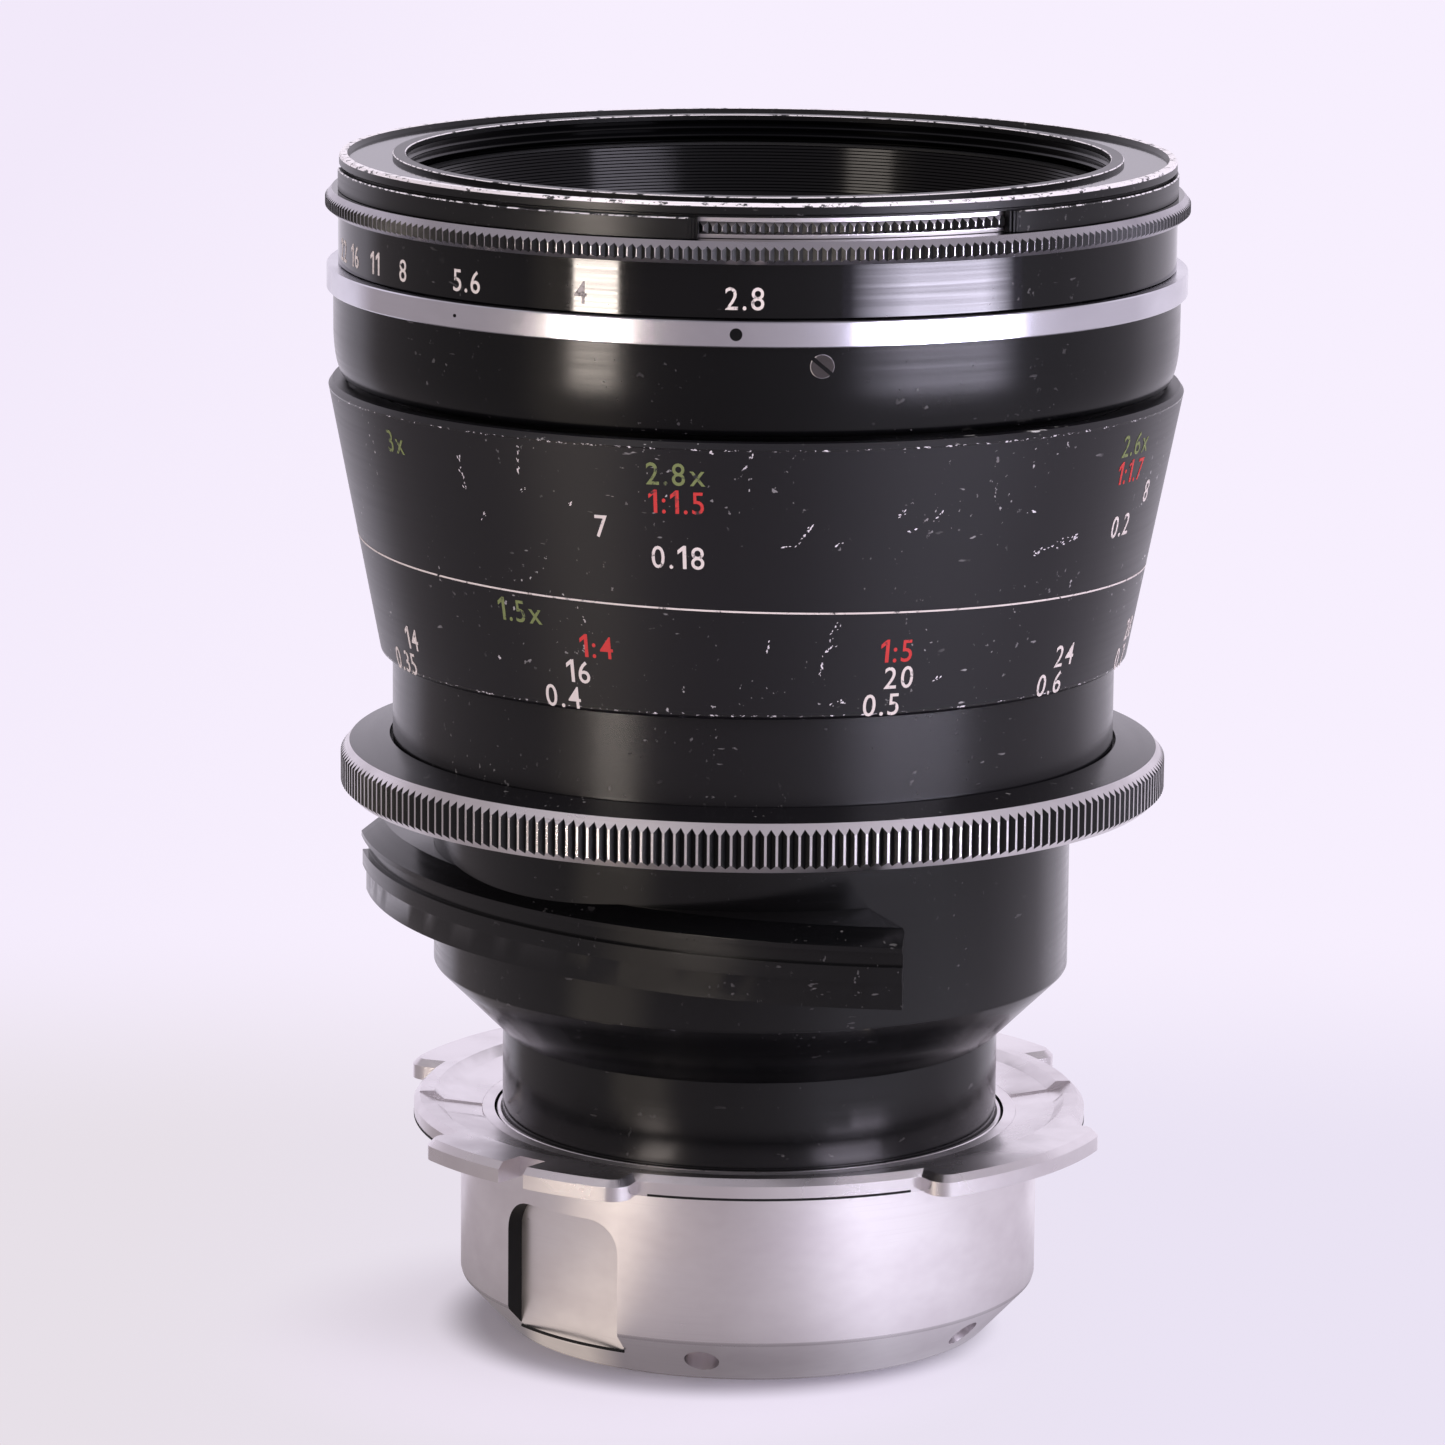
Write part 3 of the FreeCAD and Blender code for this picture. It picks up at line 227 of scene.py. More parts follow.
@dataclass(frozen=True)
class Anodised(Finish):
    """Black anodised aluminium, turned. The eye sees faint rings and a narrow bright stripe.

    Attributes:
        streaks: how much the turning marks change the roughness.
        ring_spacing: distance between the marks in millimetres, drawn coarser than real to show.
        wear: share of the black rubbed off in chips and flecks.
        bare: colour of the bare metal.
    """

    streaks: float = 0.1
    ring_spacing: float = 0.35
    wear: float = 0.0
    bare: str = "#d8d4d2"

    def dress(self, tree: Tree, shader: Node) -> None:
        """Add turning marks, chips and flecks.

        Args:
            tree: the material's node tree.
            shader: its Principled node.
        """
        ring_length = 40.0
        rings = self.pattern(tree, (ring_length, ring_length, self.ring_spacing), 2.0, 0.6)
        rough = add(tree, "ShaderNodeMapRange", {}, {
            "Value": rings, "From Min": 0.3, "From Max": 0.7,
            "To Min": max(self.roughness - self.streaks, 0.04), "To Max": self.roughness + self.streaks})
        tree.links.new(rough.outputs[0], shader.inputs["Roughness"])
        if self.wear <= 0:
            return
        worn = []
        for kind in (CHIPS, FLECKS):
            mark = add(tree, "ShaderNodeMapRange", {}, {
                "Value": self.pattern(tree, kind.size, 2.0, kind.rough),
                "From Min": kind.start, "From Max": kind.full})
            patch = add(tree, "ShaderNodeMapRange", {}, {
                "Value": self.pattern(tree, kind.patch),
                "From Min": kind.patch_start, "From Max": kind.patch_full})
            worn.append(add(tree, "ShaderNodeMath", {"operation": "MULTIPLY"}, {0: mark, 1: patch}))
        either = add(tree, "ShaderNodeMath", {"operation": "MAXIMUM"}, {0: worn[0], 1: worn[1]})
        share = add(tree, "ShaderNodeMath", {"operation": "MULTIPLY", "use_clamp": True},
                    {0: either, 1: self.wear})
        mixed = add(tree, "ShaderNodeMix", {"data_type": "RGBA"},
                    {0: share, 6: linear(self.colour), 7: linear(self.bare)})
        tree.links.new(mixed.outputs[2], shader.inputs["Base Color"])


@dataclass(frozen=True)
class RubbedEdge(Finish):
    """An edge whose black has rubbed off. The eye sees a broken bright line.

    Attributes:
        bare: colour of the bare metal.
        share: how much of the edge is bare, from zero to one.
        grain: length of the chips round the edge in millimetres.
        squat: how much longer than tall a chip is.
        bare_metallic: how metallic the bare parts are, less than one because they are dulled.
    """

    bare: str = "#ebe5e7"
    share: float = 0.5
    grain: float = 1.2
    squat: float = 1.8
    bare_metallic: float = 0.5

    def dress(self, tree: Tree, shader: Node) -> None:
        """Mix black and bare metal in chips.

        Args:
            tree: the material's node tree.
            shader: its Principled node.
        """
        chips = self.pattern(tree, (self.grain, self.grain, self.grain / self.squat), 4.0, 0.62)
        middle = 0.66 - 0.32 * self.share
        soft = 0.03
        mask = add(tree, "ShaderNodeMapRange", {}, {
            "Value": chips, "From Min": middle - soft, "From Max": middle + soft})
        mixed = add(tree, "ShaderNodeMix", {"data_type": "RGBA"},
                    {0: mask, 6: linear(self.colour), 7: linear(self.bare)})
        metal = add(tree, "ShaderNodeMapRange", {}, {"Value": mask, "To Max": self.bare_metallic})
        tree.links.new(mixed.outputs[2], shader.inputs["Base Color"])
        tree.links.new(metal.outputs[0], shader.inputs["Metallic"])


@dataclass(frozen=True)
class TurnedMetal(Finish):
    """Bare nickel or steel, turned on a lathe. The eye sees fine rings, smudges and small dents.

    Attributes:
        ring_spacing: distance between the marks in millimetres, drawn coarser than real to show.
        shade: colour of the dull smudges.
        ring_depth: strength of the marks.
    """

    ring_spacing: float = 0.22
    shade: str = "#7d7678"
    ring_depth: float = 0.12

    def dress(self, tree: Tree, shader: Node) -> None:
        """Add turning marks, smudges and small dark pits.

        Args:
            tree: the material's node tree.
            shader: its Principled node.
        """
        ring_length = 28.5714
        rings = self.pattern(tree, (ring_length, ring_length, self.ring_spacing), 3.0, 0.7)
        smudge = self.pattern(tree, (15.3846, 15.3846, 9.0909), 4.0, 0.6)
        pits = self.pattern(tree, (1.4286, 1.4286, 1.1111), 2.0)
        mask = None
        for noise, start, full, most in ((smudge, 0.42, 0.72, 0.55), (pits, 0.76, 0.8, 0.6),
                                         (rings, 0.5, 0.8, self.ring_depth * 3)):
            marks = add(tree, "ShaderNodeMapRange", {}, {
                "Value": noise, "From Min": start, "From Max": full, "To Max": most})
            mask = marks if mask is None else add(
                tree, "ShaderNodeMath", {"operation": "MAXIMUM"}, {0: mask, 1: marks})
        mixed = add(tree, "ShaderNodeMix", {"data_type": "RGBA"},
                    {0: mask, 6: linear(self.colour), 7: linear(self.shade)})
        rough = add(tree, "ShaderNodeMapRange", {}, {
            "Value": smudge, "From Min": 0.3, "From Max": 0.7,
            "To Min": self.roughness - 0.07, "To Max": self.roughness + 0.12})
        bump = add(tree, "ShaderNodeBump", {}, {
            "Height": rings, "Strength": self.ring_depth, "Distance": 0.02 * MM})
        tree.links.new(mixed.outputs[2], shader.inputs["Base Color"])
        tree.links.new(rough.outputs[0], shader.inputs["Roughness"])
        tree.links.new(bump.outputs[0], shader.inputs["Normal"])


@dataclass(frozen=True)
class FillPaint(Finish):
    """Paint rubbed into engraved figures. The eye sees small breaks where it has chipped.

    Attributes:
        chipped: colour of the ground that shows through.
        loss: share of the paint that is gone.
        grain: size of a chip in millimetres.
    """

    chipped: str = "#2a2a2c"
    loss: float = 0.2
    grain: float = 0.6667

    def dress(self, tree: Tree, shader: Node) -> None:
        """Break the paint with small chips.

        Args:
            tree: the material's node tree.
            shader: its Principled node.
        """
        chips = self.pattern(tree, (self.grain, self.grain, self.grain), 3.0, 0.6)
        middle = 0.32 + 0.25 * self.loss
        soft = 0.05
        mask = add(tree, "ShaderNodeMapRange", {}, {
            "Value": chips, "From Min": middle - soft, "From Max": middle + soft,
            "To Min": 1.0, "To Max": 0.0})
        mixed = add(tree, "ShaderNodeMix", {"data_type": "RGBA"},
                    {0: mask, 6: linear(self.colour), 7: linear(self.chipped)})
        tree.links.new(mixed.outputs[2], shader.inputs["Base Color"])


@dataclass(frozen=True)
class LampGlow(Finish):
    """Table lit by a lamp, far from the lens. Only reflections see it, brighter further out.

    Attributes:
        strength: how bright the far edge is, one for white.
        near: distance in metres at which the glow starts.
        far: distance at which it is full.
        near_share: share of the strength at the near distance.
        rise: bearings in degrees between which the glow rises from nothing.
        fall: bearings in degrees between which it falls to nothing.
    """

    strength: float = 1.0
    near: float = 0.58
    far: float = 0.76
    near_share: float = 0.3
    rise: Point = (-181.0, -180.0)
    fall: Point = (180.0, 181.0)

    def dress(self, tree: Tree, shader: Node) -> None:
        """Let the sheet glow, more with distance and less towards its sides.

        Args:
            tree: the material's node tree.
            shader: its Principled node.
        """
        where = add(tree, "ShaderNodeTexCoord").outputs["Object"]
        reach = add(tree, "ShaderNodeVectorMath", {"operation": "LENGTH"}, {0: where})
        glow = add(tree, "ShaderNodeMapRange", {}, {
            "Value": reach.outputs["Value"], "From Min": self.near, "From Max": self.far,
            "To Min": self.near_share * self.strength, "To Max": self.strength})
        bearing = bearing_of(tree, where)
        for (start, full), (low, high) in ((self.rise, (0.0, 1.0)), (self.fall, (1.0, 0.0))):
            side = add(tree, "ShaderNodeMapRange", {}, {
                "Value": bearing, "From Min": math.radians(start), "From Max": math.radians(full),
                "To Min": low, "To Max": high})
            glow = add(tree, "ShaderNodeMath", {"operation": "MULTIPLY"}, {0: glow, 1: side})
        shader.inputs["Emission Color"].default_value = linear(self.colour)
        tree.links.new(glow.outputs[0], shader.inputs["Emission Strength"])


@dataclass(frozen=True)
class CoatedGlass(Finish):
    """Optical glass with a coating. The eye sees a dark pool with a faint violet reflection.

    Attributes:
        index: refractive index of the glass.
    """

    index: float = 1.6

    def dress(self, tree: Tree, shader: Node) -> None:
        """Let light through the glass.

        Args:
            tree: the material's node tree.
            shader: its Principled node.
        """
        shader.inputs["IOR"].default_value = self.index
        shader.inputs["Transmission Weight"].default_value = 1.0


# The glossy black mirrors the lamps as two sharp bars, the band's and the cap's blur them.
GLOSS_BLACK = Anodised("glossy black anodised aluminium", "#050506", 0.0, 0.09, 0.27, 0.5,
                       streaks=0.03, wear=0.1)
BAND_BLACK = Anodised("black anodised aluminium of the band", "#050506", 0.0, 0.22, 0.24, 0.5,
                      streaks=0.03, wear=0.1)
CAP_BLACK = Anodised("black anodised aluminium of the cap", "#09090a", 0.0, 0.32, 0.3, 0.3,
                     streaks=0.02, wear=0.1)
# Lacquer on the rear body looks wet, with soft upright sheens.
BODY_BLACK = Anodised("black lacquered aluminium of the rear body", "#0a0a0b", 0.0, 0.18, 0.34, 0.4,
                      streaks=0.04, wear=0.1)
# The cone is the dullest black and the most worn, so its specks stand out.
SATIN_BLACK = Anodised("satin black anodised aluminium", "#121114", 0.0, 0.34, 0.34, 0.3,
                       streaks=0.015, wear=0.6)
NECK_BLACK = Anodised("black anodised aluminium of the neck", "#100f11", 0.0, 0.24, 0.34, 0.5,
                      streaks=0.02, wear=0.2)
# Lacquer in the recess swallows light. Only the ribs keep two faint bars. The same black also paints shade
# under the flange and on the pocket's left wall.
MATT_BLACK_AND_SHADE = Finish("matt black lacquer", "#0d0d0e", 0.0, 0.6, 0.25)
RIB_BLACK = Finish("ribbed black lacquer", "#040405", 0.0, 0.13, 0.2)
GROOVE_BLACK = Finish("black in the knurl's grooves", "#0a0a0b", 0.0, 0.4, 0.3)
# Edges are bright where hands rub them and only chipped where they don't.
RUBBED_BLACK = RubbedEdge("black edge rubbed bright", "#18171a", 0.0, 0.3, 0.5, share=0.75, grain=0.9)
SCRATCH_METAL = RubbedEdge("bare metal in scratches", "#4a484b", 0.0, 0.35, 0.5, share=0.9, grain=0.5)
CHIPPED_BLACK = RubbedEdge("black edge with chips", "#0d0c0e", 0.0, 0.2, 0.45, share=0.14, grain=0.5)
WORN_LINE = RubbedEdge("black corner with a worn line", "#0d0c0e", 0.0, 0.2, 0.45, share=0.5, grain=0.6)
# Turned nickel is pale and a little warm, with a broad soft sheen on the barrel.
SATIN_NICKEL = TurnedMetal("satin turned nickel", "#f4f0f2", 1.0, 0.33, 0.5, 0.35,
                           shade="#cdc5ca", ring_depth=0.06)
BRIGHT_NICKEL = TurnedMetal("bright turned nickel", "#e2dee0", 1.0, 0.24, 0.5, 0.4,
                            shade="#b0a9ac", ring_depth=0.06)
POLISHED_NICKEL = TurnedMetal("polished nickel of the index ring", "#d6d5dc", 1.0, 0.16, 0.5, 0.3,
                              shade="#bbb9c0", ring_depth=0.04)
FLANGE_NICKEL = TurnedMetal("smooth nickel of the flange", "#ebe7e9", 1.0, 0.24, 0.5, 0.2,
                            shade="#bfb7bb", ring_depth=0.02)
# Lands of a knurl glint one by one.
KNURL_METAL = TurnedMetal("bare metal on the knurl", "#dedadc", 1.0, 0.3, shade="#a19b9e")
DULL_KNURL = TurnedMetal("dull metal on the fine knurl", "#b6b3b8", 1.0, 0.26, shade="#8a868d")
SCREW_STEEL = TurnedMetal("screw steel", "#4c4847", 1.0, 0.34, shade="#242222")
BRONZE = TurnedMetal("turned bronze", "#a07c4c", 1.0, 0.34, shade="#6e5230")
# Fill paint is chalky, and its chips let the black through.
CREAM_PAINT = FillPaint("cream fill paint", "#d3c9c1", 0.0, 0.55, 0.3, loss=0.12)
FADED_PAINT = FillPaint("faded cream fill paint", "#a8a09a", 0.0, 0.55, 0.3, loss=0.5)
GREEN_PAINT = FillPaint("olive green fill paint", "#6f7948", 0.0, 0.55, 0.3, loss=0.3)
RED_PAINT = FillPaint("red fill paint", "#bd312e", 0.0, 0.5, 0.3, loss=0.15)
DOT_BLACK = Finish("black fill paint", "#060607", 0.0, 0.6, 0.1)
LENS_GLASS = CoatedGlass("coated optical glass", "#eef0f6", 0.0, 0.0)


# Meshes


@dataclass
class Shell:
    """Faces gathered before they become one object.

    Attributes:
        points: corner points in metres.
        faces: corner numbers of each face.
        kinds: finish number of each face.
    """

    points: list[Vector] = field(default_factory=list)
    faces: list[tuple[int, ...]] = field(default_factory=list)
    kinds: list[int] = field(default_factory=list)

    def turn(self, outline: Sequence[Point], kinds: Sequence[int], segments: int = 288,
             start: float = 0.0, end: float = 360.0) -> None:
        """Turn a closed outline round the axis.

        Args:
            outline: radius and height of each corner, with the solid on the left as it is followed.
            kinds: finish number of the face that starts at each corner.
            segments: number of steps in a full turn.
            start: bearing at which the wall starts.
            end: bearing at which it ends.
        """
        full = abs(end - start) >= 360.0
        steps = max(2, round(segments * abs(end - start) / 360.0))
        columns = steps if full else steps + 1
        first = len(self.points)
        count = len(outline)
        for column in range(columns):
            bearing = start + (end - start) * column / steps
            self.points += [place(radius, bearing, height) for radius, height in outline]
        for column in range(steps):
            here = first + column * count
            there = first + ((column + 1) % columns) * count
            for row in range(count):
                beside = (row + 1) % count
                self.faces.append((here + row, there + row, there + beside, here + beside))
                self.kinds.append(kinds[row % len(kinds)])
        if not full:
            self.faces.append(tuple(first + row for row in range(count)))
            self.faces.append(tuple(first + steps * count + row for row in reversed(range(count))))
            self.kinds += [kinds[0], kinds[0]]

    def build(self, name: str, finishes: Sequence[Finish], sharp: float = 28.0) -> Piece:
        """Make the object, with smooth faces and sharp corners.

        Args:
            name: name of the piece.
            finishes: finish of each kind of face.
            sharp: corners above this angle in degrees stay sharp.

        Returns:
            The new piece.
        """
        mesh = bpy.data.meshes.new(name)
        mesh.from_pydata([tuple(point) for point in self.points], [], self.faces)
        for finish in finishes:
            mesh.materials.append(finish.material())
        mesh.polygons.foreach_set("material_index", self.kinds)
        return finished(name, mesh, sharp)


def finished(name: str, mesh: Mesh, sharp: float = 28.0) -> Piece:
    """Clean a mesh, point its faces outwards and put it in the scene.

    Args:
        name: name of the piece.
        mesh: its mesh.
        sharp: corners above this angle in degrees stay sharp.

    Returns:
        The new object, at the origin.
    """
    work = bmesh.new()
    work.from_mesh(mesh)
    bmesh.ops.remove_doubles(work, verts=work.verts, dist=1e-6)
    bmesh.ops.recalc_face_normals(work, faces=work.faces)
    work.to_mesh(mesh)
    work.free()
    mesh.shade_smooth()
    mesh.set_sharp_from_angle(angle=math.radians(sharp))
    made = bpy.data.objects.new(name, mesh)
    bpy.context.scene.collection.objects.link(made)
    return made


def turned(name: str, outline: Sequence[Point], kinds: Sequence[int], *finishes: Finish,
           sharp: float = 28.0) -> Piece:
    """Make a piece from one closed outline turned round the axis.

    Args:
        name: name of the piece.
        outline: radius and height of each corner, as for Shell.turn.
        kinds: finish number of the face that starts at each corner.
        finishes: the finishes.
        sharp: corners above this angle in degrees stay sharp.

    Returns:
        The new piece.
    """
    shell = Shell()
    shell.turn(outline, kinds)
    return shell.build(name, finishes, sharp)


def merged(name: str, pieces: Sequence[Piece], materials: Sequence[Material]) -> Mesh:
    """Join pieces into one mesh and remove them.

    Args:
        name: name of the mesh.
        pieces: what is joined.
        materials: materials of the mesh, in the order of the pieces' own.

    Returns:
        The joined mesh.
    """
    work = bmesh.new()
    for piece in pieces:
        work.from_mesh(piece.data)
        bpy.data.objects.remove(piece)
    mesh = bpy.data.meshes.new(name)
    work.to_mesh(mesh)
    work.free()
    for material in materials:
        mesh.materials.append(material)
    return mesh


def taken(node: str) -> Mesh:
    """Copy a node's mesh with its loose triangles joined.

    Args:
        node: name of the CAD node.

    Returns:
        The cleaned copy.
    """
    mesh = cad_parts[node].data.copy()
    work = bmesh.new()
    work.from_mesh(mesh)
    bmesh.ops.remove_doubles(work, verts=work.verts, dist=2e-6)
    bmesh.ops.dissolve_limit(work, angle_limit=math.radians(0.5), verts=work.verts, edges=work.edges)
    work.to_mesh(mesh)
    work.free()
    return mesh


def plain(made: Piece) -> Piece:
    """Turn a piece's live modifiers into a plain mesh.

    Args:
        made: the piece.

    Returns:
        The same piece.
    """
    graph = bpy.context.evaluated_depsgraph_get()
    mesh = bpy.data.meshes.new_from_object(made.evaluated_get(graph), preserve_all_data_layers=True,
                                           depsgraph=graph)
    made.modifiers.clear()
    made.data = mesh
    return made


def eased(node: str, name: str, finish: Finish, edge: Finish, width: float = 0.15) -> Piece:
    """Copy a node and round its corners.

    Args:
        node: name of the CAD node.
        name: name of the new piece.
        finish: finish of its faces.
        edge: finish of the rounded corners.
        width: width of the rounding in millimetres.

    Returns:
        The new piece.
    """
    mesh = taken(node)
    mesh.materials.clear()
    mesh.materials.append(finish.material())
    mesh.materials.append(edge.material())
    made = finished(name, mesh)
    bevel = made.modifiers.new("rounding", "BEVEL")
    bevel.width = width * MM
    bevel.segments = 2
    bevel.limit_method = "ANGLE"
    bevel.angle_limit = math.radians(30)
    bevel.material = 1
    bevel.harden_normals = True
    return plain(made)


def knurl_tree() -> Tree:
    """Geometry nodes that repeat one tooth's slice of a ring all the way round.

    Returns:
        The node tree, made at the first call.
    """
    name = "repeat slice round the axis"
    known = bpy.data.node_groups.get(name)
    if known:
        return known
    tree = bpy.data.node_groups.new(name, "GeometryNodeTree")
    sockets = tree.interface
    sockets.new_socket("Slice", in_out="INPUT", socket_type="NodeSocketGeometry")
    count = sockets.new_socket("Count", in_out="INPUT", socket_type="NodeSocketInt")
    count.default_value = 240
    for zone in Zone:
        sockets.new_socket(zone.name.title() + " finish", in_out="INPUT", socket_type="NodeSocketMaterial")
    sockets.new_socket("Ring", in_out="OUTPUT", socket_type="NodeSocketGeometry")
    given = add(tree, "NodeGroupInput")
    line = add(tree, "GeometryNodeMeshLine", {}, {"Count": given.outputs["Count"], "Offset": (0, 0, 0)})
    number = add(tree, "GeometryNodeInputIndex")
    step = add(tree, "ShaderNodeMath", {"operation": "DIVIDE"}, {0: math.tau, 1: given.outputs["Count"]})
    angle = add(tree, "ShaderNodeMath", {"operation": "MULTIPLY"}, {0: number, 1: step})
    turn = add(tree, "ShaderNodeCombineXYZ", {}, {"Z": angle})
    copies = add(tree, "GeometryNodeInstanceOnPoints", {}, {
        "Points": line, "Instance": given.outputs["Slice"], "Rotation": turn})
    real = add(tree, "GeometryNodeRealizeInstances", {}, {"Geometry": copies})
    joined = add(tree, "GeometryNodeMergeByDistance", {}, {"Geometry": real, "Distance": 2e-6})
    zone_value = add(tree, "GeometryNodeInputNamedAttribute", {"data_type": "INT"}, {"Name": "zone"})
    flow = joined.outputs[0]
    for zone in Zone:
        same = add(tree, "FunctionNodeCompare", {"data_type": "INT", "operation": "EQUAL"})
        tree.links.new(zone_value.outputs["Attribute"], same.inputs[2])
        same.inputs[3].default_value = zone.value
        painted = add(tree, "GeometryNodeSetMaterial", {}, {
            "Geometry": flow, "Selection": same, "Material": given.outputs[zone.name.title() + " finish"]})
        flow = painted.outputs[0]
    out = add(tree, "NodeGroupOutput")
    tree.links.new(flow, out.inputs[0])
    return tree


@dataclass
class KnurledRing:
    """A turned ring with straight V grooves across its rim.

    Attributes:
        radius: outer radius over the lands.
        low: height of the rim's lower edge.
        high: height of its upper edge.
        low_bevel: height of the lower bevel.
        high_bevel: height of the upper bevel.
        bevel_width: width of both bevels.
        depth: depth of the grooves.
        count: number of grooves.
        land: share of the pitch that is left flat.
        inside: rest of the outline, from the top of the rim round the bore to its foot.
    """

    radius: float
    low: float
    high: float
    low_bevel: float
    high_bevel: float
    bevel_width: float
    depth: float
    count: int
    inside: list[Point]
    land: float = 0.26

    def slice(self) -> Mesh:
        """Mesh of one tooth with its slice of the ring.

        Returns:
            The mesh, with the zone of each face as its attribute.
        """
        half = 180.0 / self.count
        edge = half * self.land
        rim = self.radius - self.bevel_width
        floor = self.radius - self.depth
        share = (floor - rim) / self.bevel_width
        low_floor = self.low + self.low_bevel * share
        high_floor = self.high - self.high_bevel * share
        outline = [(rim, self.high)] + self.inside + [(rim, self.low)]
        shell = Shell()
        for radius, height in outline:
            shell.points += [place(radius, -half, height), place(radius, half, height)]
        for row in range(len(outline) - 1):
            shell.faces.append((2 * row, 2 * row + 1, 2 * row + 3, 2 * row + 2))
            shell.kinds.append(Zone.BODY.value)
        foot = 2 * (len(outline) - 1)
        extra = len(shell.points)
        corners = [(floor, -half, low_floor), (self.radius, -edge, self.low + self.low_bevel),
                   (self.radius, edge, self.low + self.low_bevel), (floor, half, low_floor),
                   (floor, -half, high_floor), (self.radius, -edge, self.high - self.high_bevel),
                   (self.radius, edge, self.high - self.high_bevel), (floor, half, high_floor)]
        shell.points += [place(*corner) for corner in corners]
        a, b, c, d, e, f, g, h = range(extra, extra + 8)
        shell.faces += [(foot, foot + 1, d, c, b, a), (a, b, f, e), (b, c, g, f), (c, d, h, g),
                        (1, 0, e, f, g, h)]
        zones = (Zone.LAND, Zone.GROOVE, Zone.LAND, Zone.GROOVE, Zone.LAND)
        shell.kinds += [zone.value for zone in zones]
        mesh = bpy.data.meshes.new("knurl slice")
        mesh.from_pydata([tuple(point) for point in shell.points], [], shell.faces)
        stored = mesh.attributes.new("zone", "INT", "FACE")
        stored.data.foreach_set("value", shell.kinds)
        return mesh

    def build(self, name: str, body: Finish, land: Finish, groove: Finish) -> Piece:
        """Repeat the slice into a ring.

        Args:
            name: name of the piece.
            body: finish of the faces inside the ring.
            land: finish of the lands and of both bevels.
            groove: finish of the grooves.

        Returns:
            The ring as a plain mesh.
        """
        made = bpy.data.objects.new(name, self.slice())
        bpy.context.scene.collection.objects.link(made)
        repeat = made.modifiers.new("knurl", "NODES")
        tree = knurl_tree()
        repeat.node_group = tree
        sockets = {item.name: item.identifier for item in tree.interface.items_tree if item.in_out == "INPUT"}
        repeat[sockets["Count"]] = self.count
        for zone, finish in zip(Zone, (body, land, groove)):
            repeat[sockets[zone.name.title() + " finish"]] = finish.material()
        made = plain(made)
        work = bmesh.new()
        work.from_mesh(made.data)
        bmesh.ops.recalc_face_normals(work, faces=work.faces)
        work.to_mesh(made.data)
        work.free()
        made.data.shade_smooth()
        made.data.set_sharp_from_angle(angle=math.radians(20))
        return made


@dataclass
class Figure:
    """One figure on a scale.

    Attributes:
        text: its digits.
        bearing: where its middle stands.
        height: height of its middle.
        size: height of a digit in millimetres.
        weight: how much wider than the font each stroke is, on each side.
        width: width of a digit against the font's.
        gap: space between digits, as a share of their height.
        plate_half: half of the plate's thickness.
    """

    text: str
    bearing: float
    height: float
    size: float = 2.1
    weight: float = 0.008
    width: float = 0.9
    gap: float = 0.2
    plate_half: float = 0.015

    def one(self) -> Mesh:
        """Plate of the digit one, drawn with the flag that the scale's lettering has.

        Returns:
            The plate.
        """
        size = self.size * MM
        corners = [(0.21, 0.0), (0.36, 0.0), (0.36, 1.0), (0.24, 1.0), (0.0, 0.8), (0.0, 0.62), (0.21, 0.79)]
        mesh = bpy.data.meshes.new("digit one")
        mesh.from_pydata([(x * size, y * size, 0.0) for x, y in corners], [], [tuple(range(len(corners)))])
        work = bmesh.new()
        work.from_mesh(mesh)
        raised = bmesh.ops.extrude_face_region(work, geom=work.faces[:])["geom"]
        points = [item for item in raised if isinstance(item, bmesh.types.BMVert)]
        bmesh.ops.translate(work, verts=work.verts, vec=(0, 0, -self.plate_half * MM))
        bmesh.ops.translate(work, verts=points, vec=(0, 0, 2 * self.plate_half * MM))
        bmesh.ops.triangulate(work, faces=work.faces[:])
        work.to_mesh(mesh)
        work.free()
        return mesh

    def plate(self, character: str) -> Mesh:
        """Plate of one character.

        Args:
            character: the character.

        Returns:
            The plate, with its left side at zero.
        """
        if character == "1":
            return self.one()
        digit_share = 0.729
        curve = bpy.data.curves.new("figure", "FONT")
        curve.body = character
        curve.size = self.size / digit_share * MM
        curve.extrude = self.plate_half * MM
        curve.resolution_u = 4
        curve.offset = self.weight * MM
        holder = bpy.data.objects.new("figure", curve)
        bpy.context.scene.collection.objects.link(holder)
        graph = bpy.context.evaluated_depsgraph_get()
        mesh = bpy.data.meshes.new_from_object(holder.evaluated_get(graph))
        left = min(vertex.co.x for vertex in mesh.vertices)
        for vertex in mesh.vertices:
            vertex.co.x = (vertex.co.x - left) * self.width
        bpy.data.objects.remove(holder)
        bpy.data.curves.remove(curve)
        return mesh


def wrapped(name: str, figures: Sequence[Figure], radius_at: Callable[[float], float],
            finish: Finish) -> Piece:
    """Write figures on a turned surface as thin plates.

    Args:
        name: name of the piece.
        figures: what is written, and where.
        radius_at: radius of the surface at a height, in millimetres.
        finish: the paint.

    Returns:
        One piece with all the figures.
    """
    proud = 0.012
    joined = bmesh.new()
    for figure in figures:
        plates = [figure.plate(character) for character in figure.text]
        widths = [max(vertex.co.x for vertex in plate.vertices) / MM for plate in plates]
        gap = figure.gap * figure.size
        cursor = -(sum(widths) + gap * (len(plates) - 1)) / 2
        for plate, width in zip(plates, widths):
            for vertex in plate.vertices:
                height = figure.height - figure.size / 2 + vertex.co.y / MM
                radius = radius_at(height) + proud + vertex.co.z / MM
                bearing = figure.bearing + math.degrees((cursor + vertex.co.x / MM) / radius)
                vertex.co = place(radius, bearing, height)
            joined.from_mesh(plate)
            bpy.data.meshes.remove(plate)
            cursor += width + gap
    mesh = bpy.data.meshes.new(name)
    joined.to_mesh(mesh)
    joined.free()
    mesh.materials.clear()
    mesh.materials.append(finish.material())
    for face in mesh.polygons:
        face.material_index = 0
    return finished(name, mesh)


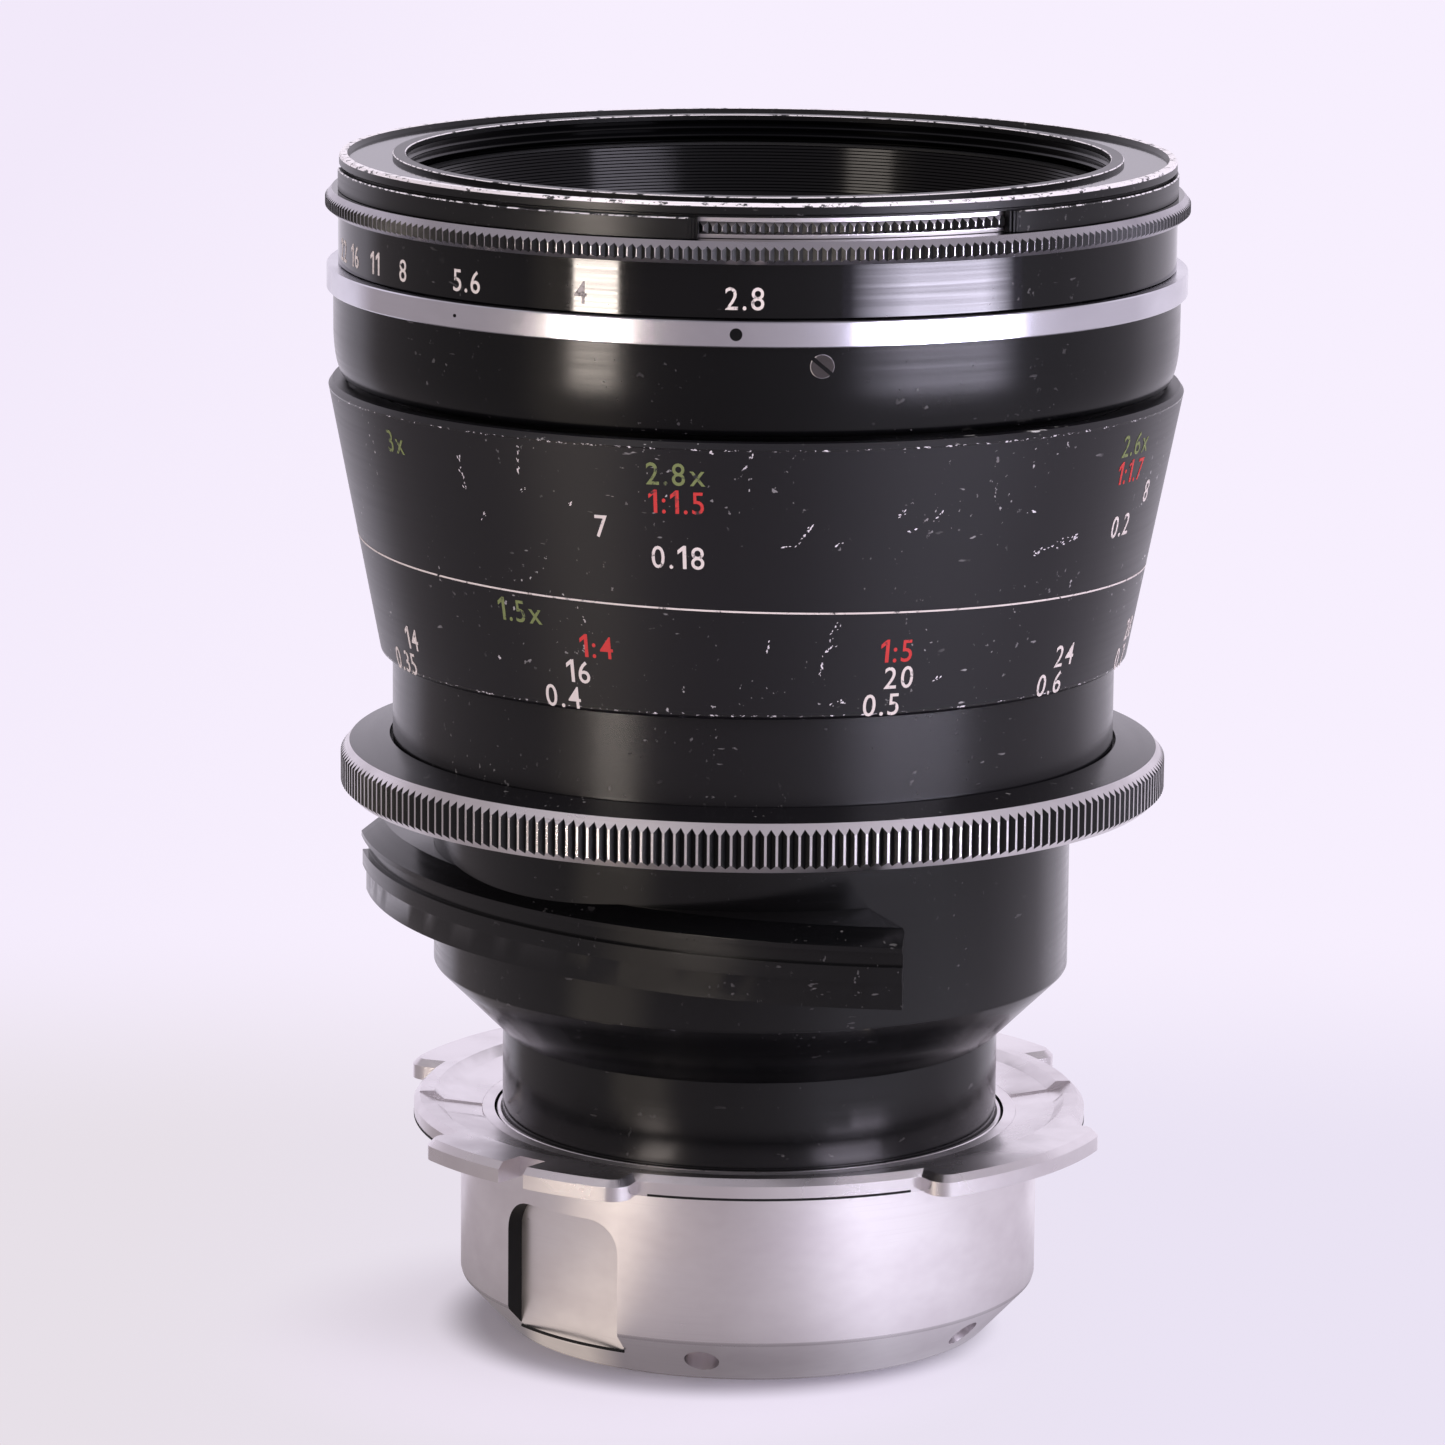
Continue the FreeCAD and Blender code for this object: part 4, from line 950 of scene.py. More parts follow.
@dataclass
class Scratch:
    """A mark where the black is gone.

    Attributes:
        bearing: where its middle stands.
        height: height of its middle.
        length: its length in millimetres.
        slant: its direction in degrees, zero round the ring and ninety along the axis.
        width: its width.
    """

    bearing: float
    height: float
    length: float = 1.2
    slant: float = 60.0
    width: float = 0.3


def scratched(name: str, marks: Sequence[Scratch], radius_at: Callable[[float], float]) -> Piece:
    """Draw scratches on a turned surface, each as a row of uneven flakes.

    Args:
        name: name of the piece.
        marks: the scratches.
        radius_at: radius of the surface at a height, in millimetres.

    Returns:
        One piece with all the scratches.
    """
    chance = random.Random(7)
    flake_spacing, flake_sizes, proud, corners = 0.2, (0.1, 0.28), 0.008, 6
    shell = Shell()
    for mark in marks:
        flakes = max(3, round(mark.length / flake_spacing))
        turn = math.radians(mark.slant)
        for _ in range(flakes):
            along = chance.uniform(-0.5, 0.5) * mark.length
            aside = chance.uniform(-0.5, 0.5) * mark.width
            middle = (along * math.cos(turn) - aside * math.sin(turn),
                      along * math.sin(turn) + aside * math.cos(turn))
            size = chance.uniform(*flake_sizes)
            tilt = turn + chance.uniform(-0.6, 0.6)
            first = len(shell.points)
            for corner in range(corners):
                angle = tilt + corner * math.tau / corners
                reach = size * chance.uniform(0.5, 1.0) * (1.0 if corner % 3 == 0 else 0.4)
                x, y = middle[0] + reach * math.cos(angle), middle[1] + reach * math.sin(angle)
                radius = radius_at(mark.height + y) + proud
                shell.points.append(place(radius, mark.bearing + math.degrees(x / radius), mark.height + y))
            shell.faces.append(tuple(range(first, first + corners)))
            shell.kinds.append(0)
    return shell.build(name, [SCRATCH_METAL])


def hand_over(made: Piece, body: str, slot: str, *nodes: str) -> Piece:
    """Tie a piece to its body and hide the nodes it stands for.

    Args:
        made: the piece.
        body: the body that it moves with.
        slot: name of the record's finish; not used.
        nodes: the CAD nodes that it takes the place of.

    Returns:
        The same piece.
    """
    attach(made, body)
    if nodes:
        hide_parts(*nodes)
    log.info("%s: %d faces", made.name, len(made.data.polygons))
    return made


def carved(made: Piece, cutters: Sequence[Piece]) -> Piece:
    """Cut some shapes out of a piece and remove the cutters.

    Args:
        made: the piece.
        cutters: the shapes.

    Returns:
        The same piece.
    """
    for cutter in cutters:
        cut = made.modifiers.new("cut", "BOOLEAN")
        cut.operation = "DIFFERENCE"
        cut.solver = "EXACT"
        cut.object = cutter
        cut.material_mode = "TRANSFER"
    plain(made)
    for cutter in cutters:
        bpy.data.objects.remove(cutter)
    made.data.shade_smooth()
    made.data.set_sharp_from_angle(angle=math.radians(28))
    return made


def peg(radius: float, length: float, centre: Vector, along: Vector, finish: Finish,
        sides: int = 32) -> Piece:
    """Round bar about a line, as a cutter or as a pin.

    Args:
        radius: its radius in millimetres.
        length: its length.
        centre: its middle, in metres.
        along: direction of its axis.
        finish: its finish.
        sides: number of sides.

    Returns:
        The bar.
    """
    made_mesh = bpy.data.meshes.new("cutter")
    work = bmesh.new()
    bmesh.ops.create_cone(work, cap_ends=True, segments=sides, radius1=radius * MM, radius2=radius * MM,
                          depth=length * MM)
    turn = along.to_track_quat("Z", "Y").to_matrix().to_4x4()
    bmesh.ops.transform(work, matrix=Matrix.Translation(centre) @ turn, verts=work.verts)
    work.to_mesh(made_mesh)
    work.free()
    made_mesh.materials.append(finish.material())
    made = bpy.data.objects.new("cutter", made_mesh)
    bpy.context.scene.collection.objects.link(made)
    return made


# Sub-assemblies


@dataclass
class MountEnd:
    """Rear barrel, lugged flange and the bright ring round the neck."""

    radius: float = 27.0
    foot_radius: float = 23.0
    chamfer: float = 4.5
    height: float = 19.2
    flange_gap: float = 0.3
    bore: float = 21.2
    bore_height: float = 6.0
    neck: float = 23.12
    shoulder: float = 19.5
    undercut: float = 26.6
    collar: float = 25.0
    collar_top: float = 19.8
    lip_width: float = 0.55
    lip_rise: float = 0.55
    lip_depth: float = 1.9
    groove_width: float = 0.75
    groove_depth: float = 1.95
    pocket_bearing: float = -40.5
    pocket_half_width: float = 6.75
    pocket_high: float = 15.0
    pocket_depth: float = 1.5
    pocket_corner: float = 3.0
    pocket_line: Point = (2.45, 2.7)
    pocket_line_half: float = 14.3
    hole_radius: float = 1.6
    hole_length: float = 4.8
    hole_bearings: tuple[float, ...] = (-9.7, 52.6, 170.3, -127.4)
    lug_count: int = 4
    lug_bearing: float = 50.2
    lug_half: float = 20.8
    # Strip of painted shade under the flange's edge, given by its inner lower and outer upper corners.
    flange_shade_line: tuple[Point, Point] = ((31.1, 19.2), (31.42, 19.42))

    def pocket(self) -> Piece:
        """Cutter with rounded upper corners for the barrel's pocket, open at its foot, its left wall matt
        black as painted shade.

        Returns:
            The cutter.
        """
        corner, high, half = self.pocket_corner, self.pocket_high, self.pocket_half_width
        steps, beyond = 8, 2.0
        outline: list[Point] = []
        for x, start in ((half - corner, 0), (-half + corner, 90)):
            for step in range(steps + 1):
                angle = math.radians(start + step * 90 / steps)
                outline.append((x + corner * math.cos(angle), high - corner + corner * math.sin(angle)))
        outline += [(-half, -1.0), (half, -1.0)]
        shell = Shell()
        count = len(outline)
        for reach in (self.radius - self.pocket_depth, self.radius + beyond):
            for x, z in outline:
                bearing = self.pocket_bearing + math.degrees(x / self.radius)
                shell.points.append(place(reach, bearing, z))
        for row in range(count):
            beside = (row + 1) % count
            shell.faces.append((row, beside, count + beside, count + row))
            # The left wall and its upper corner are matt black as painted shade. The floor and the rest stay
            # nickel.
            shell.kinds.append(1 if outline[row][0] < -half + corner else 0)
        shell.faces += [tuple(reversed(range(count))), tuple(range(count, 2 * count))]
        shell.kinds += [0, 0]
        return shell.build("cutter", [SATIN_NICKEL, MATT_BLACK_AND_SHADE])

    def build_barrel(self) -> None:
        """Barrel with its pocket and spanner holes."""
        edge = 0.18
        top = self.height - self.flange_gap
        groove = self.neck + self.groove_width
        groove_floor = self.collar_top - self.groove_depth
        outline = [
            (self.bore, 0.0), (self.foot_radius - edge, 0.0), (self.foot_radius, edge),
            (self.radius - edge * 0.6, self.chamfer - edge), (self.radius, self.chamfer + edge),
            (self.radius, top - edge / 2), (self.radius - edge / 2, top),
            (self.undercut, top), (self.undercut, self.shoulder), (self.collar, self.shoulder),
            (self.collar, self.collar_top), (groove, self.collar_top), (groove, groove_floor),
            (self.neck, groove_floor), (self.neck, self.bore_height), (self.bore, self.bore_height),
        ]
        kinds = [0, 1, 0, 1, 0, 1, 2, 2, 0, 0, 0, 2, 2, 2, 0, 0]
        barrel = turned("mount_barrel_turned", outline, kinds, SATIN_NICKEL, BRIGHT_NICKEL, MATT_BLACK_AND_SHADE)
        cutters = [self.pocket()]
        for bearing in self.hole_bearings:
            mouth = place((self.radius + self.foot_radius) / 2, bearing, self.chamfer / 2)
            out = place(self.chamfer, bearing, self.foot_radius - self.radius) / MM
            cutters.append(peg(self.hole_radius, self.hole_length, mouth, out, SATIN_NICKEL))
        hand_over(carved(barrel, cutters), "mount_body", "satin_nickel", "mount_barrel")

    def build_lines(self) -> None:
        """Dark lines: painted shade under the flange between the lugs, and a dark line at the foot of the
        pocket.
        """
        margin = 2.0
        (inner, low), (outer, high) = self.flange_shade_line
        shell = Shell()
        # Painted shade: a thin black strip under the flange's edge, between the lugs.
        for number in range(self.lug_count):
            turn = 360 / self.lug_count
            start = self.lug_bearing + turn * number + self.lug_half + margin
            end = start + turn - 2 * (self.lug_half + margin)
            shell.turn([(inner, low), (outer, low), (outer, high), (inner, high)], [0], 288, start, end)
        floor = self.radius - self.pocket_depth
        inner, outer = floor - 0.1, floor + 0.03
        low, high = self.pocket_line
        shell.turn([(inner, low), (outer, low), (outer, high), (inner, high)], [0], 288,
                   self.pocket_bearing - self.pocket_line_half, self.pocket_bearing + self.pocket_line_half)
        hand_over(shell.build("mount_dark_lines", [MATT_BLACK_AND_SHADE]), "mount_body", "black_matt")

    def build_lip(self) -> None:
        """Bright ring between the neck and the barrel."""
        inner, outer = self.neck, self.neck + self.lip_width
        top = self.height + self.lip_rise
        foot = top - self.lip_depth
        edge, inner_edge = 0.1, 0.18
        outline = [(inner, foot), (outer, foot), (outer, top - edge), (outer - edge, top),
                   (inner + inner_edge, top), (inner, top - inner_edge)]
        lip = turned("mount_lip_turned", outline, [0], BRIGHT_NICKEL)
        hand_over(lip, "mount_body", "bright_nickel", "mount_lip_ring")

    def build(self) -> None:
        """Build the barrel, the lip, the dark lines with the painted shade under the flange, and the flange.
        """
        self.build_barrel()
        self.build_lip()
        self.build_lines()
        flange = eased("mount_flange", "mount_flange_milled", FLANGE_NICKEL, BRIGHT_NICKEL, 0.22)
        hand_over(flange, "mount_body", "satin_nickel", "mount_flange")


@dataclass
class RearBody:
    """Neck, cone and cylinder with the grip wing."""

    neck: float = 23.1
    neck_bore: float = 21.4
    neck_low: float = 6.0
    neck_high: float = 27.9
    cone_floor: float = 29.6
    body: float = 29.55
    body_bore: float = 27.55
    body_low: float = 34.25
    body_floor: float = 36.25
    body_high: float = 52.25
    seat: float = 31.0
    seat_high: float = 54.45
    wing_rounding: float = 0.32

    def build(self) -> None:
        """Build the turned body and the wing."""
        edge = 0.12
        outline = [
            (self.neck_bore, self.neck_low), (self.neck, self.neck_low), (self.neck, self.neck_high),
            (self.body - edge, self.body_low - edge), (self.body, self.body_low + edge),
            (self.body, self.body_high), (self.seat, self.body_high), (self.seat, self.seat_high),
            (self.body_bore, self.seat_high), (self.body_bore, self.body_floor),
            (self.neck_bore, self.cone_floor),
        ]
        kinds = [0, 0, 0, 1, 0, 0, 0, 0, 2, 2, 2]
        made = turned("rear_body_turned", outline, kinds, BODY_BLACK, GLOSS_BLACK, MATT_BLACK_AND_SHADE)
        hand_over(made, "mount_body", "black_gloss", "rear_body")
        wing = eased("grip_wing", "grip_wing_milled", BODY_BLACK, GLOSS_BLACK, self.wing_rounding)
        hand_over(wing, "mount_body", "black_gloss", "grip_wing")


@dataclass
class ClampRing:
    """Large knurled ring that clamps the focusing movement."""

    radius: float = 38.17
    low: float = 50.6
    high: float = 55.0
    bore: float = 33.65
    bore_high: float = 55.6
    seat_bore: float = 31.06
    seat_high: float = 54.4
    body_bore: float = 29.61
    body_high: float = 52.2

    def build(self) -> None:
        """Build the ring."""
        inside = [(self.bore, self.bore_high), (self.bore, self.seat_high), (self.seat_bore, self.seat_high),
                  (self.seat_bore, self.body_high), (self.body_bore, self.body_high),
                  (self.body_bore, self.low)]
        ring = KnurledRing(self.radius, self.low, self.high, low_bevel=0.75, high_bevel=0.95,
                           bevel_width=0.8, depth=0.42, count=240, inside=inside, land=0.22)
        made = ring.build("clamp_ring_knurled", NECK_BLACK, KNURL_METAL, GROOVE_BLACK)
        hand_over(made, "clamp_ring", "black_gloss", "clamp_ring")


@dataclass
class HelicoidNeck:
    """Fixed tube on which the focusing cone travels."""

    radius: float = 33.35
    bore: float = 30.0
    low: float = 54.45
    high: float = 90.05
    floor: float = 57.55
    spigot: float = 27.53
    spigot_bore: float = 26.13
    spigot_low: float = 46.05

    def build(self) -> None:
        """Build the tube."""
        edge = 0.2
        outline = [
            (self.spigot_bore, self.spigot_low), (self.spigot, self.spigot_low), (self.spigot, self.low),
            (self.radius, self.low), (self.radius, self.high - edge), (self.radius - edge, self.high),
            (self.bore, self.high), (self.bore, self.floor), (self.spigot_bore, self.floor),
        ]
        made = turned("helicoid_tube_turned", outline, [0], NECK_BLACK)
        hand_over(made, "mount_body", "black_satin", "helicoid_tube")


@dataclass
class FocusCone:
    """Focusing cone with its magnification, ratio and distance scales."""

    low: float = 63.6
    high: float = 88.3
    low_radius: float = 34.4
    high_radius: float = 39.2
    rim: float = 88.8
    slide_bore: float = 33.65
    slide_high: float = 70.0
    nut_bore: float = 34.41
    nut_high: float = 78.4
    bearing_bore: float = 35.11
    bearing_high: float = 88.1
    cup: float = 37.65
    line_height: float = 73.55
    line_slope: float = -0.0135
    line_width: float = 0.16

    def radius_at(self, height: float) -> float:
        """Radius of the cone at a height."""
        share = (height - self.low) / (self.high - self.low)
        return self.low_radius + (self.high_radius - self.low_radius) * share

    def build_cone(self) -> None:
        """Build the cone with its rubbed edges."""
        edge, foot, lip = 0.16, 0.3, 0.35
        outline = [
            (self.slide_bore, self.low), (self.low_radius - foot, self.low),
            (self.radius_at(self.low + foot), self.low + foot),
            (self.radius_at(self.low + foot + edge), self.low + foot + edge),
            (self.radius_at(self.high - edge), self.high - edge), (self.high_radius, self.high),
            (self.high_radius - lip, self.rim), (self.cup, self.rim), (self.cup, self.bearing_high),
            (self.bearing_bore, self.bearing_high), (self.bearing_bore, self.nut_high),
            (self.nut_bore, self.nut_high), (self.nut_bore, self.slide_high),
            (self.slide_bore, self.slide_high),
        ]
        kinds = [0, 0, 1, 0, 1, 0, 0, 0, 0, 0, 0, 0, 0, 0]
        made = turned("focus_cone_turned", outline, kinds, SATIN_BLACK, CHIPPED_BLACK)
        hand_over(made, "focus_sleeve", "black_satin", "focus_cone")

    def build_scratches(self) -> None:
        """Marks of use, on the photographed side where they show there and on the others alike."""
        marks = [
            Scratch(-42.5, 84.4, 3.0, 95, 0.5), Scratch(-39.5, 80.6, 0.8, 40),
            Scratch(-32.5, 86.2, 2.6, 85, 0.3), Scratch(-32.0, 83.6, 0.9, 30),
            Scratch(-1.2, 87.2, 2.0, 60, 0.25), Scratch(-6.0, 88.0, 0.8, 20),
            Scratch(6.2, 80.6, 2.4, 55, 0.25), Scratch(4.0, 79.6, 0.7, 20), Scratch(10.8, 79.7, 0.9, 30),
            Scratch(19.2, 82.3, 1.0, 15, 0.5), Scratch(24.6, 82.0, 1.0, 50), Scratch(21.0, 80.7, 0.8, 5),
            Scratch(45.5, 78.0, 5.6, 12, 0.7), Scratch(39.5, 81.4, 1.0, 10),
            Scratch(11.0, 71.8, 1.8, 55, 0.6), Scratch(10.6, 70.2, 1.2, 40),
            Scratch(9.4, 68.6, 1.9, 85, 0.25), Scratch(1.8, 70.5, 1.3, 80, 0.2),
            Scratch(27.0, 66.8, 1.0, 40), Scratch(-40.0, 67.6, 0.7, 20, 0.5),
            Scratch(-25.5, 82.6, 0.7, 30), Scratch(12.2, 65.2, 1.6, 10, 0.5),
            Scratch(112.0, 82.0, 3.0, 70), Scratch(141.0, 74.0, 2.0, 20), Scratch(171.0, 84.0, 2.6, 85),
            Scratch(206.0, 70.0, 2.2, 40), Scratch(243.0, 79.0, 3.2, 15, 0.6),
            Scratch(268.0, 86.0, 1.6, 60)
        ]
        hand_over(scratched("focus_cone_scratches", marks, self.radius_at), "focus_sleeve", "black_satin")

    def build_line(self) -> None:
        """Thin engraved line that parts the two turns of the scale."""
        steps = 288
        half, proud, sunk = self.line_width / 2, 0.02, -0.03
        shell = Shell()
        for step in range(steps + 1):
            bearing = -180 + 360 * step / steps
            middle = self.line_height + self.line_slope * bearing
            for offset, rise in ((-half, proud), (half, proud), (half, sunk), (-half, sunk)):
                height = middle + offset
                shell.points.append(place(self.radius_at(height) + rise, bearing, height))
        for step in range(steps):
            here, there = 4 * step, 4 * step + 4
            for row in range(4):
                beside = (row + 1) % 4
                shell.faces.append((here + row, there + row, there + beside, here + beside))
        shell.faces += [(0, 1, 2, 3), (4 * steps + 3, 4 * steps + 2, 4 * steps + 1, 4 * steps)]
        shell.kinds = [0] * len(shell.faces)
        hand_over(shell.build("focus_scale_line", [CREAM_PAINT]), "focus_sleeve", "black_satin")

    def build_figures(self) -> None:
        """Write the scales. Those out of the photographed side follow the same rule."""
        green = [Figure("3x", -55.9, 86.0), Figure("2.8x", -10.6, 86.0), Figure("2.6x", 61.0, 86.0),
                 Figure("2.4x", 128.0, 86.0), Figure("2.2x", 196.0, 86.0), Figure("1.5x", -35.2, 72.3),
                 Figure("1.3x", 190.0, 72.3)]
        red = [Figure("1:1.5", -10.6, 83.45), Figure("1:1.7", 61.0, 83.45), Figure("1:2", 128.0, 83.45),
               Figure("1:2.5", 196.0, 83.45), Figure("1:3", 250.0, 83.45), Figure("1:4", -23.1, 69.75),
               Figure("1:5", 20.3, 69.75), Figure("1:8", 112.0, 69.75), Figure("1:15", 190.0, 69.75)]
        white = [Figure("7", -21.0, 80.95), Figure("0.18", -10.6, 78.45), Figure("8", 68.5, 80.95),
                 Figure("0.2", 61.1, 78.45), Figure("9", 118.0, 80.95), Figure("0.24", 128.0, 78.45),
                 Figure("10", 178.0, 80.95), Figure("0.27", 196.0, 78.45), Figure("12", 240.0, 80.95),
                 Figure("0.3", 250.0, 78.45), Figure("14", -61.5, 67.3), Figure("0.35", -65.5, 64.85),
                 Figure("16", -26.3, 67.3), Figure("0.4", -29.2, 64.85), Figure("20", 21.0, 67.3),
                 Figure("0.5", 18.6, 64.85), Figure("24", 52.0, 67.3), Figure("0.6", 49.4, 64.85),
                 Figure("28", 76.8, 67.3), Figure("0.7", 74.3, 64.85), Figure("40", 112.0, 67.3),
                 Figure("1", 110.0, 64.85), Figure("60", 150.0, 67.3), Figure("1.5", 148.0, 64.85),
                 Figure("100", 190.0, 67.3), Figure("2.5", 188.0, 64.85), Figure("∞", 228.0, 66.2)]
        scales = (("focus_scale_green", green, GREEN_PAINT), ("focus_scale_red", red, RED_PAINT),
                  ("focus_scale_white", white, CREAM_PAINT))
        for name, figures, paint in scales:
            hand_over(wrapped(name, figures, self.radius_at, paint), "focus_sleeve", "black_satin")

    def build(self) -> None:
        """Build the cone and its scales."""
        self.build_cone()
        self.build_scratches()
        self.build_line()
        self.build_figures()


@dataclass
class BandShell:
    """Glossy band with its slotted screws, and the bright index ring over it."""

    radius: float = 38.75
    low: float = 89.2
    high: float = 97.2
    round_height: float = 4.4
    round_width: float = 1.1
    bore: float = 37.05
    screw_radius: float = 1.1
    screw_length: float = 1.3
    screw_height: float = 95.5
    screw_bearings: tuple[float, ...] = (8.1, 128.1, 248.1)
    slot_first: float = -40.0
    slot_step: float = 35.0
    slot_width: float = 0.36
    slot_depth: float = 0.35
    index_radius: float = 39.35
    index_bore: float = 37.07
    index_high: float = 99.45
    dots: tuple[Point, ...] = ((-2.9, 0.55), (-42.4, 0.15))

    def build_band(self) -> None:
        """Band that is rounded towards the cone."""
        steps = 14
        outline = [(self.bore, self.low)]
        for step in range(steps + 1):
            angle = math.radians(90 * step / steps)
            outline.append((self.radius - self.round_width * (1 - math.sin(angle)),
                            self.low + self.round_height * (1 - math.cos(angle))))
        outline += [(self.radius, self.high), (self.bore, self.high)]
        made = turned("band_shell_turned", outline, [0], BAND_BLACK)
        hand_over(made, "front_barrel", "black_gloss", "band_shell")

    def screw(self, bearing: float, slot_angle: float) -> Piece:
        """One flush screw with its slot.

        Args:
            bearing: where it stands.
            slot_angle: how far the slot is turned, in degrees.

        Returns:
            The screw.
        """
        out = place(1.0, bearing, 0.0) / MM
        proud = 0.05
        centre = place(self.radius + proud - self.screw_length / 2, bearing, self.screw_height)
        head = peg(self.screw_radius, self.screw_length, centre, out, SCREW_STEEL, 48)
        head.data.materials.append(BRIGHT_NICKEL.material())
        edge = head.modifiers.new("bright edge", "BEVEL")
        edge.width = 0.1 * MM
        edge.segments = 1
        edge.angle_limit = math.radians(60)
        edge.limit_method = "ANGLE"
        edge.material = 1
        along = Matrix.Rotation(math.radians(slot_angle), 4, out)
        mesh = bpy.data.meshes.new("cutter")
        work = bmesh.new()
        bmesh.ops.create_cube(work, size=1.0)
        size = Matrix.Diagonal((2 * (self.slot_depth + proud) * MM, 3.0 * MM, self.slot_width * MM, 1.0))
        turn = Matrix.Rotation(math.radians(bearing - 90), 4, "Z")
        lift = Matrix.Translation(place(self.radius + proud, bearing, self.screw_height))
        bmesh.ops.transform(work, matrix=lift @ along @ turn @ size, verts=work.verts)
        work.to_mesh(mesh)
        work.free()
        mesh.materials.append(GROOVE_BLACK.material())
        cutter = bpy.data.objects.new("cutter", mesh)
        bpy.context.scene.collection.objects.link(cutter)
        return carved(head, [cutter])

    def build_screws(self) -> None:
        """Three screws in one piece."""
        heads = [self.screw(bearing, self.slot_first + self.slot_step * number)
                 for number, bearing in enumerate(self.screw_bearings)]
        materials = [slot.material for slot in heads[0].material_slots]
        mesh = merged("band_screws_slotted", heads, materials)
        hand_over(finished("band_screws_slotted", mesh), "front_barrel", "steel", "band_screws")

    def build_index(self) -> None:
        """Index ring with its dots."""
        edge = 0.1
        inner, outer = self.index_bore, self.index_radius
        outline = [(inner, self.high), (outer - edge, self.high), (outer, self.high + edge),
                   (outer, self.index_high - edge), (outer - edge, self.index_high),
                   (inner, self.index_high)]
        ring = turned("index_ring_turned", outline, [0], POLISHED_NICKEL)
        hand_over(ring, "front_barrel", "bright_nickel", "index_ring")
        middle = (self.high + self.index_high) / 2
        dots = [peg(radius, 0.1, place(self.index_radius, bearing, middle), place(1, bearing, 0) / MM,
                    DOT_BLACK, 24) for bearing, radius in self.dots]
        mesh = merged("index_dot", dots, [DOT_BLACK.material()])
        hand_over(finished("index_dot", mesh), "front_barrel", "black_gloss")

    def build(self) -> None:
        """Build the band, its screws and the index ring."""
        self.build_band()
        self.build_screws()
        self.build_index()


@dataclass
class ApertureRing:
    """Aperture ring: glossy band with the stops, and the fine knurl over it."""

    bore: float = 34.56
    radius: float = 38.3
    low: float = 99.5
    split: float = 104.3
    high: float = 106.3
    knurl_radius: float = 39.47
    figure_height: float = 101.35
    figure_size: float = 2.05
    stops: tuple[tuple[str, float], ...] = (("2.8", -1.9), ("5.6", -41.8), ("8", -55.0), ("11", -62.8),
                                            ("16", -70.5), ("22", -77.2))
    faded_stops: tuple[tuple[str, float], ...] = (("4", -23.8),)

    def write(self, name: str, stops: Sequence[tuple[str, float]], paint: Finish) -> None:
        """Write stops on the band.

        Args:
            name: name of the piece.
            stops: each stop with its bearing.
            paint: what they are filled with.
        """
        figures = [Figure(text, bearing, self.figure_height, self.figure_size) for text, bearing in stops]
        made = wrapped(name, figures, lambda height: self.radius, paint)
        hand_over(made, "aperture_ring", "black_gloss")

    def build(self) -> None:
        """Build the band, the knurled part and the stops."""
        edge = 0.12
        outline = [
            (self.bore, self.low), (self.radius - edge, self.low), (self.radius, self.low + edge),
            (self.radius, self.split), (self.bore, self.split),
        ]
        made = turned("aperture_band_turned", outline, [0], GLOSS_BLACK)
        hand_over(made, "aperture_ring", "black_gloss", "aperture_scale_band")
        ring = KnurledRing(self.knurl_radius, self.split, self.high, low_bevel=0.5, high_bevel=0.72,
                           bevel_width=0.6, depth=0.26, count=300,
                           inside=[(self.bore, self.high), (self.bore, self.split)], land=0.1)
        made = ring.build("aperture_knurl_cut", GLOSS_BLACK, DULL_KNURL, GROOVE_BLACK)
        hand_over(made, "aperture_ring", "black_gloss", "aperture_knurl_ring")
        self.write("aperture_stops", self.stops, CREAM_PAINT)
        self.write("aperture_stop_faded", self.faded_stops, FADED_PAINT)


